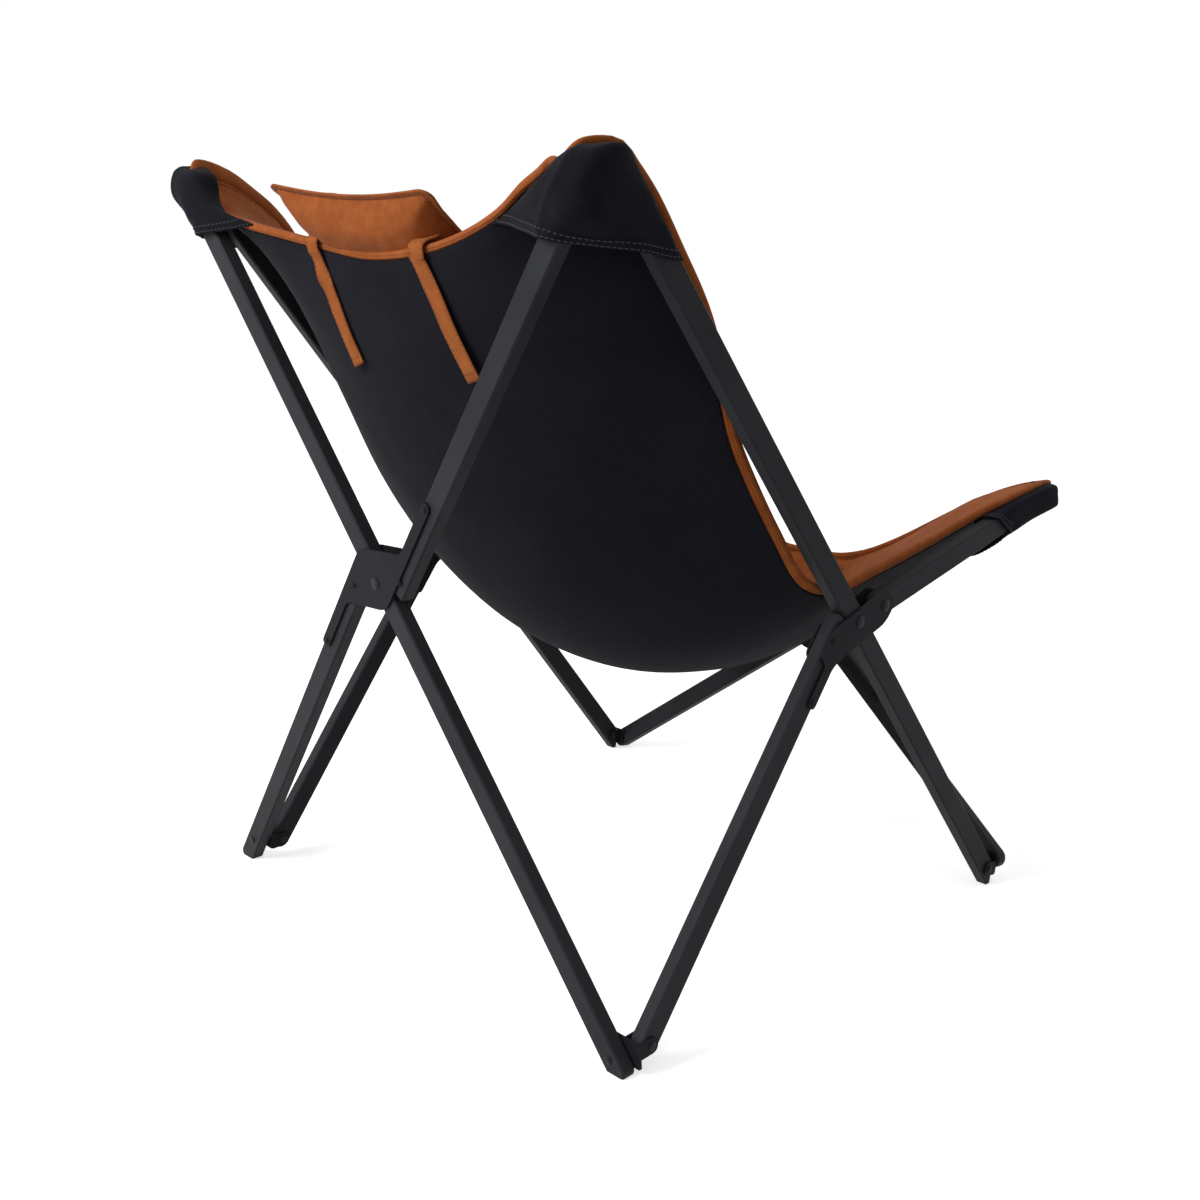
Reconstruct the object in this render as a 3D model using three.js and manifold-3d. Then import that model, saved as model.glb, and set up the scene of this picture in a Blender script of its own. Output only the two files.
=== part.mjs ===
// Folding butterfly sling chair: four flat X frames joined at eight corners, a sling hung from the tops.
// Millimetres, +Z up, front toward -Y, origin on the floor under the middle of the chair.
import * as THREE from 'three';
import { mergeVertices } from 'three/addons/utils/BufferGeometryUtils.js';
import Module from 'manifold-3d';

const wasm = await Module();
wasm.setup();

// Bars, plates and fasteners
const BAR_WIDTH = 26;
const BAR_THICK = 17;
const BAR_WALL = 2;
const BAR_EDGE = 1.8;
const CORNER_RADIUS = 9;
const PLATE_THICK = 2.5;
const PIN_RADIUS = 4;
const RIVET_RADIUS = 3;
const HEAD_HEIGHT = 2;
const FACE_GAP = 0.3;
const HOLE_GAP = 0.3;

// Side frames, as (y, z) in the side plane
const SIDE_X = 350;
const SIDE_PIVOT = [-52.3, 411.2];
const SIDE_FOOT = [-354.2, 24];
const SIDE_UP = 592;
const LEG_FOOT = [263.5, 28];
const LEG_OFFSET = 23;
const LEG_START = 8;
const LEG_SWING = 69;
const RAIL_HINGE = [35.3, 29.7];
const RAIL_ANGLE = 166.4;
const RAIL_LENGTH = 338;

// Back X frame; depths run from the side frames' pins to the middle plane of its bars
const BACK_PIVOT_Z = 454;
const BACK_FOOT_DEPTH = 26.47;
const BACK_TOP_DEPTH = 32.48;
const BACK_FOOT_INSET = 16.6;
const BACK_FOOT_Z = 15;
const BACK_TOP_DROP = 10.8;
const BACK_OFFSET = 29;
const BACK_START = 14;

// Front X frame, placed in the same way
const FRONT_PIVOT_Z = 259.6;
const FRONT_FOOT_DEPTH = 24.65;
const FRONT_TOP_DEPTH = 39.47;
const FRONT_FOOT_INSET = 10.4;
const FRONT_FOOT_Z = 13.5;
const FRONT_TOP_RISE = 2;
const FRONT_OFFSET = 20;
const FRONT_START = 43;
const FRONT_TOP_GAP = 9;
const FOOT_SWING = 38;

// Soft goods
const CANVAS_THICK = 2;
const COVER_THICK = 16;
const SOFT_GAP = 2.6;
const SLING_SIDE_GAP = 11.5;
const POCKET_THICK = 2;
const BACK_POCKET = 140;
const FRONT_POCKET = 160;
const PIN_CLEAR = 0.5;
const SEAM_GAP = 0.5;
const STRAP_THICK = 1.6;
const STRAP_EASE = 3.7;

const HALF_WIDTH = BAR_WIDTH / 2;
const HALF_THICK = BAR_THICK / 2;
const PLATE_FACE = HALF_THICK + FACE_GAP;
const PLATE_BACK = PLATE_FACE + PLATE_THICK;
const SLING_HALF = SIDE_X - HALF_THICK - SLING_SIDE_GAP;

const chair = new THREE.Group();
chair.name = 'butterfly_chair';

// Materials, one per mesh
const steel = () => new THREE.MeshStandardMaterial({ color: 0x17181a, roughness: 0.45, metalness: 0.6 });
const canvas = () => new THREE.MeshStandardMaterial({ color: 0x1a1b1d, roughness: 0.9, metalness: 0 });
const suede = () => new THREE.MeshStandardMaterial({ color: 0x8a4a22, roughness: 0.85, metalness: 0 });

// Turn a geometry into a solid, and a solid back into a geometry
function solid(geometry) {
  const plain = geometry.clone();
  plain.deleteAttribute('normal');
  plain.deleteAttribute('uv');
  const merged = mergeVertices(plain, 1e-4);
  const vertProperties = new Float32Array(merged.attributes.position.array);
  const triVerts = new Uint32Array(merged.index.array);
  return new wasm.Manifold(new wasm.Mesh({ numProp: 3, vertProperties, triVerts }));
}

function geometryOf(body) {
  const mesh = body.getMesh();
  const geometry = new THREE.BufferGeometry();
  geometry.setAttribute('position', new THREE.BufferAttribute(new Float32Array(mesh.vertProperties), 3));
  geometry.setIndex(new THREE.BufferAttribute(new Uint32Array(mesh.triVerts), 1));
  geometry.computeVertexNormals();
  return geometry;
}

function place(group, name, geometry, material, position = [0, 0, 0], turn = 0) {
  const mesh = new THREE.Mesh(geometry, material);
  mesh.name = name;
  mesh.position.set(...position);
  mesh.rotation.z = turn;
  group.add(mesh);
  return mesh;
}

// Points of a side frame, drawn about its pivot
const foot = new THREE.Vector2(SIDE_FOOT[0] - SIDE_PIVOT[0], SIDE_FOOT[1] - SIDE_PIVOT[1]);
const sideAlong = foot.clone().negate().normalize();
const sideTop = sideAlong.clone().multiplyScalar(SIDE_UP);
const legFoot = new THREE.Vector2(LEG_FOOT[0] - SIDE_PIVOT[0], LEG_FOOT[1] - SIDE_PIVOT[1]);
const legLean = Math.asin(LEG_OFFSET / legFoot.length());
const legAlong = legFoot.clone().negate().normalize().rotateAround(new THREE.Vector2(), -legLean);
const legAcross = new THREE.Vector2(-legAlong.y, legAlong.x);
const legAt = (s, q) => [legAlong.x * s + legAcross.x * q, legAlong.y * s + legAcross.y * q];
const legTop = legAt(-LEG_START, -LEG_OFFSET);
const railHinge = new THREE.Vector2(...legAt(...RAIL_HINGE));
const railTurn = THREE.MathUtils.degToRad(RAIL_ANGLE);
const railTip = railHinge.clone().add(
  new THREE.Vector2(Math.cos(railTurn), Math.sin(railTurn)).multiplyScalar(RAIL_LENGTH),
);
const topY = SIDE_PIVOT[0] + sideTop.x;
const topZ = SIDE_PIVOT[1] + sideTop.y;
const tipY = SIDE_PIVOT[0] + railTip.x;
const tipZ = SIDE_PIVOT[1] + railTip.y;

// Lean of a plane that passes a low and a high pin at given depths, and its y at a height
function leaningPlane(low, high, lowDepth, highDepth, facing, height) {
  const rise = high[1] - low[1];
  const run = high[0] - low[0];
  const tilt = Math.atan2(run, rise) - Math.asin((facing * (lowDepth - highDepth)) / Math.hypot(run, rise));
  const y = low[0] + (facing * lowDepth) / Math.cos(tilt) + (height - low[1]) * Math.tan(tilt);
  return { tilt, y };
}

// Plane frames: local x and y lie in the X frame, local z is its normal
function tiltedFrame(name, y, z, tilt) {
  const group = new THREE.Group();
  group.name = name;
  group.position.set(0, y, z);
  group.rotation.x = Math.PI / 2 - tilt;
  chair.add(group);
  return group;
}

function sideFrame(name, x) {
  const group = new THREE.Group();
  group.name = name;
  group.position.set(x, SIDE_PIVOT[0], SIDE_PIVOT[1]);
  const yAxis = new THREE.Vector3(0, 1, 0);
  const zAxis = new THREE.Vector3(0, 0, 1);
  const xAxis = new THREE.Vector3(1, 0, 0);
  group.quaternion.setFromRotationMatrix(new THREE.Matrix4().makeBasis(yAxis, zAxis, xAxis));
  chair.add(group);
  return group;
}

const backPlane = leaningPlane(LEG_FOOT, [topY, topZ], BACK_FOOT_DEPTH, BACK_TOP_DEPTH, 1, BACK_PIVOT_Z);
const tipPoint = [tipY, tipZ];
const frontPlane = leaningPlane(SIDE_FOOT, tipPoint, FRONT_FOOT_DEPTH, FRONT_TOP_DEPTH, -1, FRONT_PIVOT_Z);
const back = tiltedFrame('back_frame', backPlane.y, BACK_PIVOT_Z, backPlane.tilt);
const front = tiltedFrame('front_frame', frontPlane.y, FRONT_PIVOT_Z, frontPlane.tilt);
const right = sideFrame('right_frame', -SIDE_X);
const left = sideFrame('left_frame', SIDE_X);
chair.updateMatrixWorld(true);

// Outline with rounded corners from a list of [x, y, radius]
function roundedShape(corners) {
  const shape = new THREE.Shape();
  corners.forEach(([x, y, radius], i) => {
    const before = corners[(i + corners.length - 1) % corners.length];
    const after = corners[(i + 1) % corners.length];
    const toBefore = new THREE.Vector2(before[0] - x, before[1] - y).normalize().multiplyScalar(radius);
    const toAfter = new THREE.Vector2(after[0] - x, after[1] - y).normalize().multiplyScalar(radius);
    if (i === 0) shape.moveTo(x + toBefore.x, y + toBefore.y);
    else shape.lineTo(x + toBefore.x, y + toBefore.y);
    if (radius > 0) shape.quadraticCurveTo(x, y, x + toAfter.x, y + toAfter.y);
  });
  shape.closePath();
  return shape;
}

function prism(shape, depth) {
  const geometry = new THREE.ExtrudeGeometry(shape, { depth, bevelEnabled: false, curveSegments: 4 });
  geometry.translate(0, 0, -depth / 2);
  return geometry;
}

function drill(x, y, radius, length = 200) {
  const geometry = new THREE.CylinderGeometry(radius, radius, length, 12);
  geometry.rotateX(Math.PI / 2);
  geometry.translate(x, y, 0);
  return solid(geometry);
}

// Half of a bar outline's end, as points from the lower to the upper edge, turned round by flip
function barEnd(reach, radius, flip) {
  const points = [];
  const steps = 4;
  for (let k = 0; k <= steps; k += 1) {
    const angle = -Math.PI / 2 + (k / steps) * (Math.PI / 2);
    points.push([reach - radius + radius * Math.cos(angle), -HALF_WIDTH + radius + radius * Math.sin(angle)]);
  }
  for (let k = 0; k <= steps; k += 1) {
    const angle = (k / steps) * (Math.PI / 2);
    points.push([reach - radius + radius * Math.cos(angle), HALF_WIDTH - radius + radius * Math.sin(angle)]);
  }
  return points.map(([x, y]) => new THREE.Vector2(flip ? -x : x, flip ? -y : y));
}

// Keep the part of a convex outline on the near side of a line: normal . p <= limit
function clip(points, normal, limit) {
  const kept = [];
  points.forEach((point, i) => {
    const next = points[(i + 1) % points.length];
    const here = normal.dot(point) - limit;
    const there = normal.dot(next) - limit;
    if (here <= 0) kept.push(point);
    if (here * there < 0) kept.push(point.clone().lerp(next, here / (here - there)));
  });
  return kept;
}

// Hollow bar from one point of its plane to another, running past each by an end length
function bar(group, name, from, to, options) {
  const start = new THREE.Vector2(...from);
  const along = new THREE.Vector2(...to).sub(start);
  const length = along.length();
  const turn = along.angle();
  const before = options.before ?? HALF_WIDTH;
  const after = options.after ?? HALF_WIDTH;
  const tail = barEnd(before, options.beforeRadius ?? HALF_WIDTH, true);
  const tip = barEnd(after, options.afterRadius ?? HALF_WIDTH, false);
  tip.forEach((point) => point.setX(point.x + length));
  let outline = [...tip, ...tail];
  (options.cuts ?? []).forEach(({ point, normal }) => {
    const localNormal = normal.clone().rotateAround(new THREE.Vector2(), -turn);
    const localPoint = point.clone().sub(start).rotateAround(new THREE.Vector2(), -turn);
    outline = clip(outline, localNormal, localNormal.dot(localPoint));
  });
  const unique = outline.filter((point, i) => point.distanceTo(outline[(i + 1) % outline.length]) > 0.05);
  const skin = new THREE.ExtrudeGeometry(new THREE.Shape(unique), {
    depth: BAR_THICK - 2 * BAR_EDGE,
    bevelThickness: BAR_EDGE,
    bevelSize: BAR_EDGE,
    bevelOffset: -BAR_EDGE,
    bevelSegments: 1,
  });
  skin.translate(0, 0, -(BAR_THICK - 2 * BAR_EDGE) / 2);
  const hollowFrom = -Math.min(before, HALF_WIDTH) + 2 * BAR_WALL + (options.solidBefore ?? 0);
  const hollowTo = length + Math.min(after, HALF_WIDTH) - 2 * BAR_WALL - (options.solidAfter ?? 0);
  const hollow = new THREE.BoxGeometry(
    hollowTo - hollowFrom,
    BAR_WIDTH - 4 * BAR_WALL,
    BAR_THICK - 2 * BAR_WALL,
  );
  hollow.translate((hollowFrom + hollowTo) / 2, 0, 0);
  let body = solid(skin).subtract(solid(hollow));
  options.holes.forEach(([x, radius]) => {
    body = body.subtract(drill(x < 0 ? length + x : x, 0, radius + HOLE_GAP));
  });
  const mesh = place(group, name, geometryOf(body), steel(), [start.x, start.y, 0], turn);
  if (options.onFloor) {
    mesh.updateMatrixWorld(true);
    const floor = new THREE.BoxGeometry(4000, 4000, 400);
    floor.translate(0, 0, -200);
    floor.applyMatrix4(mesh.matrixWorld.clone().invert());
    mesh.geometry = geometryOf(body.subtract(solid(floor)));
  }
  return mesh;
}

// Turned pin with a low domed head at each end, along local z
function pinGeometry(radius, headRadius, from, to, heads) {
  const profile = [new THREE.Vector2(0, from - (heads[0] ? HEAD_HEIGHT : 0))];
  if (heads[0]) {
    profile.push(new THREE.Vector2(headRadius * 0.6, from - HEAD_HEIGHT * 0.85));
    profile.push(new THREE.Vector2(headRadius, from - HEAD_HEIGHT * 0.2));
    profile.push(new THREE.Vector2(headRadius, from));
  }
  profile.push(new THREE.Vector2(radius, from));
  profile.push(new THREE.Vector2(radius, to));
  if (heads[1]) {
    profile.push(new THREE.Vector2(headRadius, to));
    profile.push(new THREE.Vector2(headRadius, to + HEAD_HEIGHT * 0.2));
    profile.push(new THREE.Vector2(headRadius * 0.6, to + HEAD_HEIGHT * 0.85));
  }
  profile.push(new THREE.Vector2(0, to + (heads[1] ? HEAD_HEIGHT : 0)));
  const geometry = new THREE.LatheGeometry(profile, 12);
  geometry.rotateX(Math.PI / 2);
  return geometryOf(solid(geometry));
}

function pivotPin(group, name, x, y) {
  const half = PLATE_BACK + FACE_GAP;
  place(group, name, pinGeometry(PIN_RADIUS, 7, -half, half, [true, true]), steel(), [x, y, 0]);
}

// Flat plate with pin holes and fixed rivet heads on its outward side
function plate(group, name, corners, holes, heads, outward) {
  const middle = outward * (PLATE_FACE + PLATE_THICK / 2);
  let body = solid(prism(roundedShape(corners), PLATE_THICK));
  holes.forEach(([x, y]) => {
    body = body.subtract(drill(x, y, PIN_RADIUS + HOLE_GAP));
  });
  heads.forEach(([x, y]) => {
    const head = new THREE.CylinderGeometry(2.6, 4.6, HEAD_HEIGHT, 10);
    head.rotateX((outward * Math.PI) / 2);
    head.translate(x, y, (outward * (PLATE_THICK + HEAD_HEIGHT)) / 2 - outward * 0.1);
    body = body.add(solid(head));
  });
  place(group, name, geometryOf(body), steel(), [0, 0, middle]);
}

function platePair(group, names, corners, holes, heads, outerSide) {
  plate(group, names[0], corners, holes, heads, outerSide);
  plate(group, names[1], corners, holes, heads, -outerSide);
}

// Z plate: s runs along the split bar, q across it, mapped into the plane by two axes
function zPlate(offset, start, reach) {
  const outer = offset + HALF_WIDTH;
  const inner = offset - HALF_WIDTH;
  const body = start + 48;
  const round = HALF_WIDTH / 2 - 0.1;
  return {
    corners: [
      [reach, offset, round], [reach, inner, round], [body, inner, 6], [14, -outer, 12],
      [-reach, -outer, round], [-reach, -offset, round], [-body, -offset, 6], [-14, offset, 12],
    ],
    heads: [
      [reach - 7.5, offset - HALF_WIDTH / 2],
      [-reach + 7.5, -offset - HALF_WIDTH / 2],
      [start + 20, offset],
      [-start - 20, -offset],
    ],
  };
}

// Clevis at a corner: a web on the inner face of the tilted frame's bar, two flanges round a side bar end
function clevis(group, name, inward, corner) {
  const { rivet, pin, gap } = corner;
  const webFace = HALF_THICK + gap;
  const webBack = webFace + PLATE_THICK;
  const flange = HALF_THICK + FACE_GAP + PLATE_THICK;
  const ear = 9;
  const lowX = Math.min(pin[0] - flange, rivet[0] - ear);
  const highX = Math.max(pin[0] + flange, rivet[0] + ear);
  const lowY = Math.min(pin[1], rivet[1]) - ear;
  const highY = Math.max(pin[1], rivet[1]) + ear;
  const web = prism(
    roundedShape([[lowX, lowY, 3], [highX, lowY, 3], [highX, highY, 3], [lowX, highY, 3]]),
    PLATE_THICK,
  );
  web.translate(0, 0, inward * (webFace + PLATE_THICK / 2));
  let body = solid(web);
  const nAxis = new THREE.Vector3(0, 0, inward);
  const uAxis = new THREE.Vector3(0, 1, 0);
  const basis = new THREE.Matrix4().makeBasis(nAxis, uAxis, new THREE.Vector3().crossVectors(nAxis, uAxis));
  [-1, 1].forEach((side) => {
    const reach = pin[2] + ear;
    const cheek = prism(
      roundedShape([
        [webBack - 1, pin[1] - ear, 0], [reach, pin[1] - ear, ear], [reach, pin[1] + ear, ear],
        [webBack - 1, pin[1] + ear, 0],
      ]),
      PLATE_THICK,
    );
    cheek.applyMatrix4(basis);
    cheek.translate(pin[0] + side * (HALF_THICK + FACE_GAP + PLATE_THICK / 2), 0, 0);
    body = body.add(solid(cheek));
  });
  const bore = new THREE.CylinderGeometry(RIVET_RADIUS + HOLE_GAP, RIVET_RADIUS + HOLE_GAP, 80, 12);
  bore.rotateZ(Math.PI / 2);
  bore.translate(pin[0], pin[1], inward * pin[2]);
  body = body.subtract(solid(bore));
  if (corner.joined) body = body.subtract(drill(rivet[0], rivet[1], RIVET_RADIUS + HOLE_GAP, 2 * webBack));
  place(group, `clevis_${name}`, geometryOf(body), steel());

  const pinHalf = flange + FACE_GAP;
  const pinShape = pinGeometry(RIVET_RADIUS, 5, -pinHalf, pinHalf, [true, true]);
  pinShape.rotateY(Math.PI / 2);
  place(group, `clevis_pin_${name}`, pinShape, steel(), [pin[0], pin[1], inward * pin[2]]);

  const outerEnd = HALF_THICK + FACE_GAP;
  const innerEnd = corner.joined ? webBack - FACE_GAP : HALF_THICK - FACE_GAP;
  const rivetShape = pinGeometry(RIVET_RADIUS, 5, -outerEnd, innerEnd, [true, false]);
  if (inward < 0) rivetShape.rotateX(Math.PI);
  place(group, `clevis_rivet_${name}`, rivetShape, steel(), [rivet[0], rivet[1], 0]);
}

// Point of the chair seen in a frame's own coordinates
function seenFrom(group, point) {
  return group.worldToLocal(new THREE.Vector3(...point));
}

// Back X frame: the straight bar climbs toward +X, the split one toward -X
const backFoot = [SIDE_X - BACK_FOOT_INSET, (BACK_PIVOT_Z - BACK_FOOT_Z) / Math.cos(backPlane.tilt)];
const backLow = Math.hypot(...backFoot);
const backAlong = [backFoot[0] / backLow, backFoot[1] / backLow];
const backUp = (seenFrom(back, [0, topY, topZ]).y - BACK_TOP_DROP) / backAlong[1];
const backAt = (s, q) => [-backAlong[0] * s - backAlong[1] * q, backAlong[1] * s - backAlong[0] * q];
const backStraightFoot = [-backFoot[0], -backFoot[1]];
const backStraightTop = [backAlong[0] * backUp, backAlong[1] * backUp];
const backSplitFoot = backAt(-backLow, -BACK_OFFSET);
const backSplitTop = backAt(backUp, BACK_OFFSET);

bar(back, 'back_bar_straight', backStraightFoot, backStraightTop, {
  before: 24,
  beforeRadius: CORNER_RADIUS,
  holes: [[0, RIVET_RADIUS], [backLow, PIN_RADIUS], [-0.001, RIVET_RADIUS]],
  onFloor: true,
});
bar(back, 'back_bar_lower', backSplitFoot, backAt(-BACK_START, -BACK_OFFSET), {
  before: 46,
  beforeRadius: CORNER_RADIUS,
  after: 0,
  afterRadius: 2.5,
  holes: [[0, RIVET_RADIUS]],
  onFloor: true,
});
bar(back, 'back_bar_upper', backAt(BACK_START, BACK_OFFSET), backSplitTop, {
  before: 0,
  beforeRadius: 2.5,
  holes: [[-0.001, RIVET_RADIUS]],
});
const backPlate = zPlate(BACK_OFFSET, BACK_START, 145);
platePair(
  back,
  ['back_plate_outer', 'back_plate_inner'],
  backPlate.corners.map(([s, q, radius]) => [...backAt(s, q), radius]),
  [[0, 0]],
  backPlate.heads.map(([s, q]) => backAt(s, q)),
  -1,
);
pivotPin(back, 'back_pivot_pin', 0, 0);

// Front X frame: the straight bar climbs toward -X, the split one toward +X
const frontFoot = [SIDE_X - FRONT_FOOT_INSET, (FRONT_PIVOT_Z - FRONT_FOOT_Z) / Math.cos(frontPlane.tilt)];
const frontLow = Math.hypot(...frontFoot);
const frontAlong = [frontFoot[0] / frontLow, frontFoot[1] / frontLow];
const frontUp = (seenFrom(front, [0, tipY, tipZ]).y + FRONT_TOP_RISE) / frontAlong[1];
const frontAt = (s, q) => [frontAlong[0] * s + frontAlong[1] * q, frontAlong[1] * s - frontAlong[0] * q];
const frontStraightFoot = [frontFoot[0], -frontFoot[1]];
const frontStraightTop = [-frontAlong[0] * frontUp, frontAlong[1] * frontUp];
const frontSplitFoot = frontAt(-frontLow, -FRONT_OFFSET);
const frontSplitTop = frontAt(frontUp, FRONT_OFFSET);

bar(front, 'front_bar_straight', frontStraightFoot, frontStraightTop, {
  holes: [[0, RIVET_RADIUS], [frontLow, PIN_RADIUS], [-0.001, RIVET_RADIUS]],
  onFloor: true,
});
bar(front, 'front_bar_lower', frontSplitFoot, frontAt(-FRONT_START, -FRONT_OFFSET), {
  after: 0,
  afterRadius: 2.5,
  holes: [[0, RIVET_RADIUS]],
});
bar(front, 'front_bar_upper', frontAt(FRONT_START, FRONT_OFFSET), frontSplitTop, {
  before: 0,
  beforeRadius: 2.5,
  holes: [[-0.001, RIVET_RADIUS]],
});
const frontPlate = zPlate(FRONT_OFFSET, FRONT_START, 157);
platePair(
  front,
  ['front_plate_outer', 'front_plate_inner'],
  frontPlate.corners.map(([s, q, radius]) => [...frontAt(s, q), radius]),
  [[0, 0]],
  frontPlate.heads.map(([s, q]) => frontAt(s, q)),
  1,
);
pivotPin(front, 'front_pivot_pin', 0, 0);

// Side frames
const sidePlate = {
  corners: [
    [49.5, 17, 11], [49.5, 44, 13], [21, 44, 13], [-18, 16, 12], [-60, -LEG_OFFSET + HALF_WIDTH, 8],
    [-113, -LEG_OFFSET + HALF_WIDTH, 6.4], [-113, -LEG_OFFSET, 6.4], [-66, -LEG_OFFSET, 4],
    [-60, -LEG_OFFSET - HALF_WIDTH, 5], [-27, -LEG_OFFSET - HALF_WIDTH, 5],
  ],
  heads: [[-106, -LEG_OFFSET + HALF_WIDTH / 2], [-38, -LEG_OFFSET - 5]],
};

// The leg's top is trimmed clear of the side bar's rear face as it stands open and as it swings shut
const sideRear = new THREE.Vector2(sideAlong.y, -sideAlong.x);
const legCuts = [0, LEG_SWING / 2, LEG_SWING].map((degrees) => {
  const away = sideRear.clone().rotateAround(new THREE.Vector2(), THREE.MathUtils.degToRad(degrees));
  return { point: away.clone().multiplyScalar(HALF_WIDTH + FACE_GAP), normal: away.clone().negate() };
});

// The front clevis web passes this far in front of the side bar's foot pin, and swings round it in folding
const footSeen = seenFrom(front, [0, SIDE_FOOT[0], SIDE_FOOT[1]]);
const frontOut = new THREE.Vector2(-Math.cos(frontPlane.tilt), Math.sin(frontPlane.tilt));
const webClear = -footSeen.z - PLATE_BACK - 2 * FACE_GAP;
const footCuts = [0, 8, 16, 24, 32, FOOT_SWING].map((degrees) => {
  const normal = frontOut.clone().rotateAround(new THREE.Vector2(), -THREE.MathUtils.degToRad(degrees));
  return { point: foot.clone().add(normal.clone().multiplyScalar(webClear)), normal };
});
footCuts.push({ point: new THREE.Vector2(0, -SIDE_PIVOT[1]), normal: new THREE.Vector2(0, -1) });

function buildSide(group, hand, outward) {
  bar(group, `side_bar_${hand}`, [foot.x, foot.y], [sideTop.x, sideTop.y], {
    before: 44,
    beforeRadius: 2.5,
    solidBefore: 4,
    cuts: footCuts,
    holes: [[0, RIVET_RADIUS], [foot.length(), PIN_RADIUS], [-0.001, RIVET_RADIUS]],
  });
  bar(group, `leg_${hand}`, [legFoot.x, legFoot.y], legTop, {
    after: 0,
    afterRadius: 2.5,
    solidAfter: 16,
    cuts: legCuts,
    holes: [[0, RIVET_RADIUS]],
  });
  bar(group, `rail_${hand}`, [railHinge.x, railHinge.y], [railTip.x, railTip.y], {
    holes: [[0, PIN_RADIUS], [-0.001, RIVET_RADIUS]],
  });
  platePair(
    group,
    [`side_plate_outer_${hand}`, `side_plate_inner_${hand}`],
    sidePlate.corners.map(([s, q, radius]) => [...legAt(s, q), radius]),
    [[0, 0], [railHinge.x, railHinge.y]],
    sidePlate.heads.map(([s, q]) => legAt(s, q)),
    outward,
  );
  pivotPin(group, `side_pivot_pin_${hand}`, 0, 0);
  pivotPin(group, `rail_pin_${hand}`, railHinge.x, railHinge.y);
}

buildSide(right, 'right', -1);
buildSide(left, 'left', 1);

// Corner clevises: pin positions come from the side frames, rivets from the tilted frames
function pinSeen(group, x, point) {
  const seen = seenFrom(group, [x, point.x + SIDE_PIVOT[0], point.y + SIDE_PIVOT[1]]);
  return [seen.x, seen.y, Math.abs(seen.z)];
}

const corners = [
  [back, 'rear_foot_right', 1, -SIDE_X, legFoot, backStraightFoot, FACE_GAP, true],
  [back, 'rear_foot_left', 1, SIDE_X, legFoot, backSplitFoot, FACE_GAP, true],
  [back, 'back_top_right', 1, -SIDE_X, sideTop, backSplitTop, 1, false],
  [back, 'back_top_left', 1, SIDE_X, sideTop, backStraightTop, 1, false],
  [front, 'front_foot_right', -1, -SIDE_X, foot, frontSplitFoot, FACE_GAP, true],
  [front, 'front_foot_left', -1, SIDE_X, foot, frontStraightFoot, FACE_GAP, false],
  [front, 'front_top_right', -1, -SIDE_X, railTip, frontStraightTop, FRONT_TOP_GAP, false],
  [front, 'front_top_left', -1, SIDE_X, railTip, frontSplitTop, FRONT_TOP_GAP, false],
];
corners.forEach(([group, name, inward, x, pin, rivet, gap, joined]) => {
  clevis(group, name, inward, { rivet, pin: pinSeen(group, x, pin), gap, joined });
});

// Sling form: a middle line and an edge line from the back top to the front top
const edgeLine = new THREE.CatmullRomCurve3([
  new THREE.Vector3(SLING_HALF - 8, topY + 12, topZ + 16),
  new THREE.Vector3(SLING_HALF - 2, topY - 27, topZ + 12),
  new THREE.Vector3(SLING_HALF, topY - 65, topZ - 22),
  new THREE.Vector3(SLING_HALF, topY - 100, topZ - 75),
  new THREE.Vector3(SLING_HALF, topY - 140, topZ - 143),
  new THREE.Vector3(SLING_HALF, topY - 180, topZ - 254),
  new THREE.Vector3(SLING_HALF, topY - 207, topZ - 301),
  new THREE.Vector3(SLING_HALF, SIDE_PIVOT[0] + 114, SIDE_PIVOT[1] + 104),
  new THREE.Vector3(SLING_HALF, SIDE_PIVOT[0] + 66, SIDE_PIVOT[1] + 44),
  new THREE.Vector3(SLING_HALF, SIDE_PIVOT[0] + 7, SIDE_PIVOT[1] + 23),
  new THREE.Vector3(SLING_HALF, SIDE_PIVOT[0] - 68, SIDE_PIVOT[1] + 32),
  new THREE.Vector3(SLING_HALF, tipY + 206, tipZ - 41),
  new THREE.Vector3(SLING_HALF, tipY + 101, tipZ - 22),
  new THREE.Vector3(SLING_HALF - 1, tipY + 32, tipZ - 8),
  new THREE.Vector3(SLING_HALF - 6, tipY - 4, tipZ + 1),
]);
const middleLine = new THREE.CatmullRomCurve3([
  new THREE.Vector3(0, topY + 9, topZ - 84),
  new THREE.Vector3(0, topY - 12, topZ - 178),
  new THREE.Vector3(0, topY - 52, topZ - 283),
  new THREE.Vector3(0, topY - 109, topZ - 388),
  new THREE.Vector3(0, SIDE_PIVOT[0] + 176, SIDE_PIVOT[1] - 27),
  new THREE.Vector3(0, SIDE_PIVOT[0] + 74, SIDE_PIVOT[1] - 103),
  new THREE.Vector3(0, SIDE_PIVOT[0] - 38, SIDE_PIVOT[1] - 137),
  new THREE.Vector3(0, tipY + 226, tipZ - 235),
  new THREE.Vector3(0, tipY + 116, tipZ - 212),
  new THREE.Vector3(0, tipY + 38, tipZ - 166),
  new THREE.Vector3(0, tipY + 2, tipZ - 129),
]);

// The cloth hangs in a rounder curve at the back than along its front edge
function slingPoint(a, b) {
  const edge = edgeLine.getPointAt(b);
  const middle = middleLine.getPointAt(b);
  const pull = Math.abs(a) ** (2.3 - 0.8 * b ** 3);
  return new THREE.Vector3(
    a * edge.x,
    middle.y + (edge.y - middle.y) * pull,
    middle.z + (edge.z - middle.z) * pull,
  );
}

// Unit normal of the sling on its seat side
function slingNormal(a, b) {
  const step = 0.004;
  const acrossA = slingPoint(a + step, b).sub(slingPoint(a - step, b));
  const low = Math.max(b - step, 0);
  const high = Math.min(b + step, 1);
  const alongB = slingPoint(a, high).sub(slingPoint(a, low));
  const normal = alongB.cross(acrossA).normalize();
  return normal;
}

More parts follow.
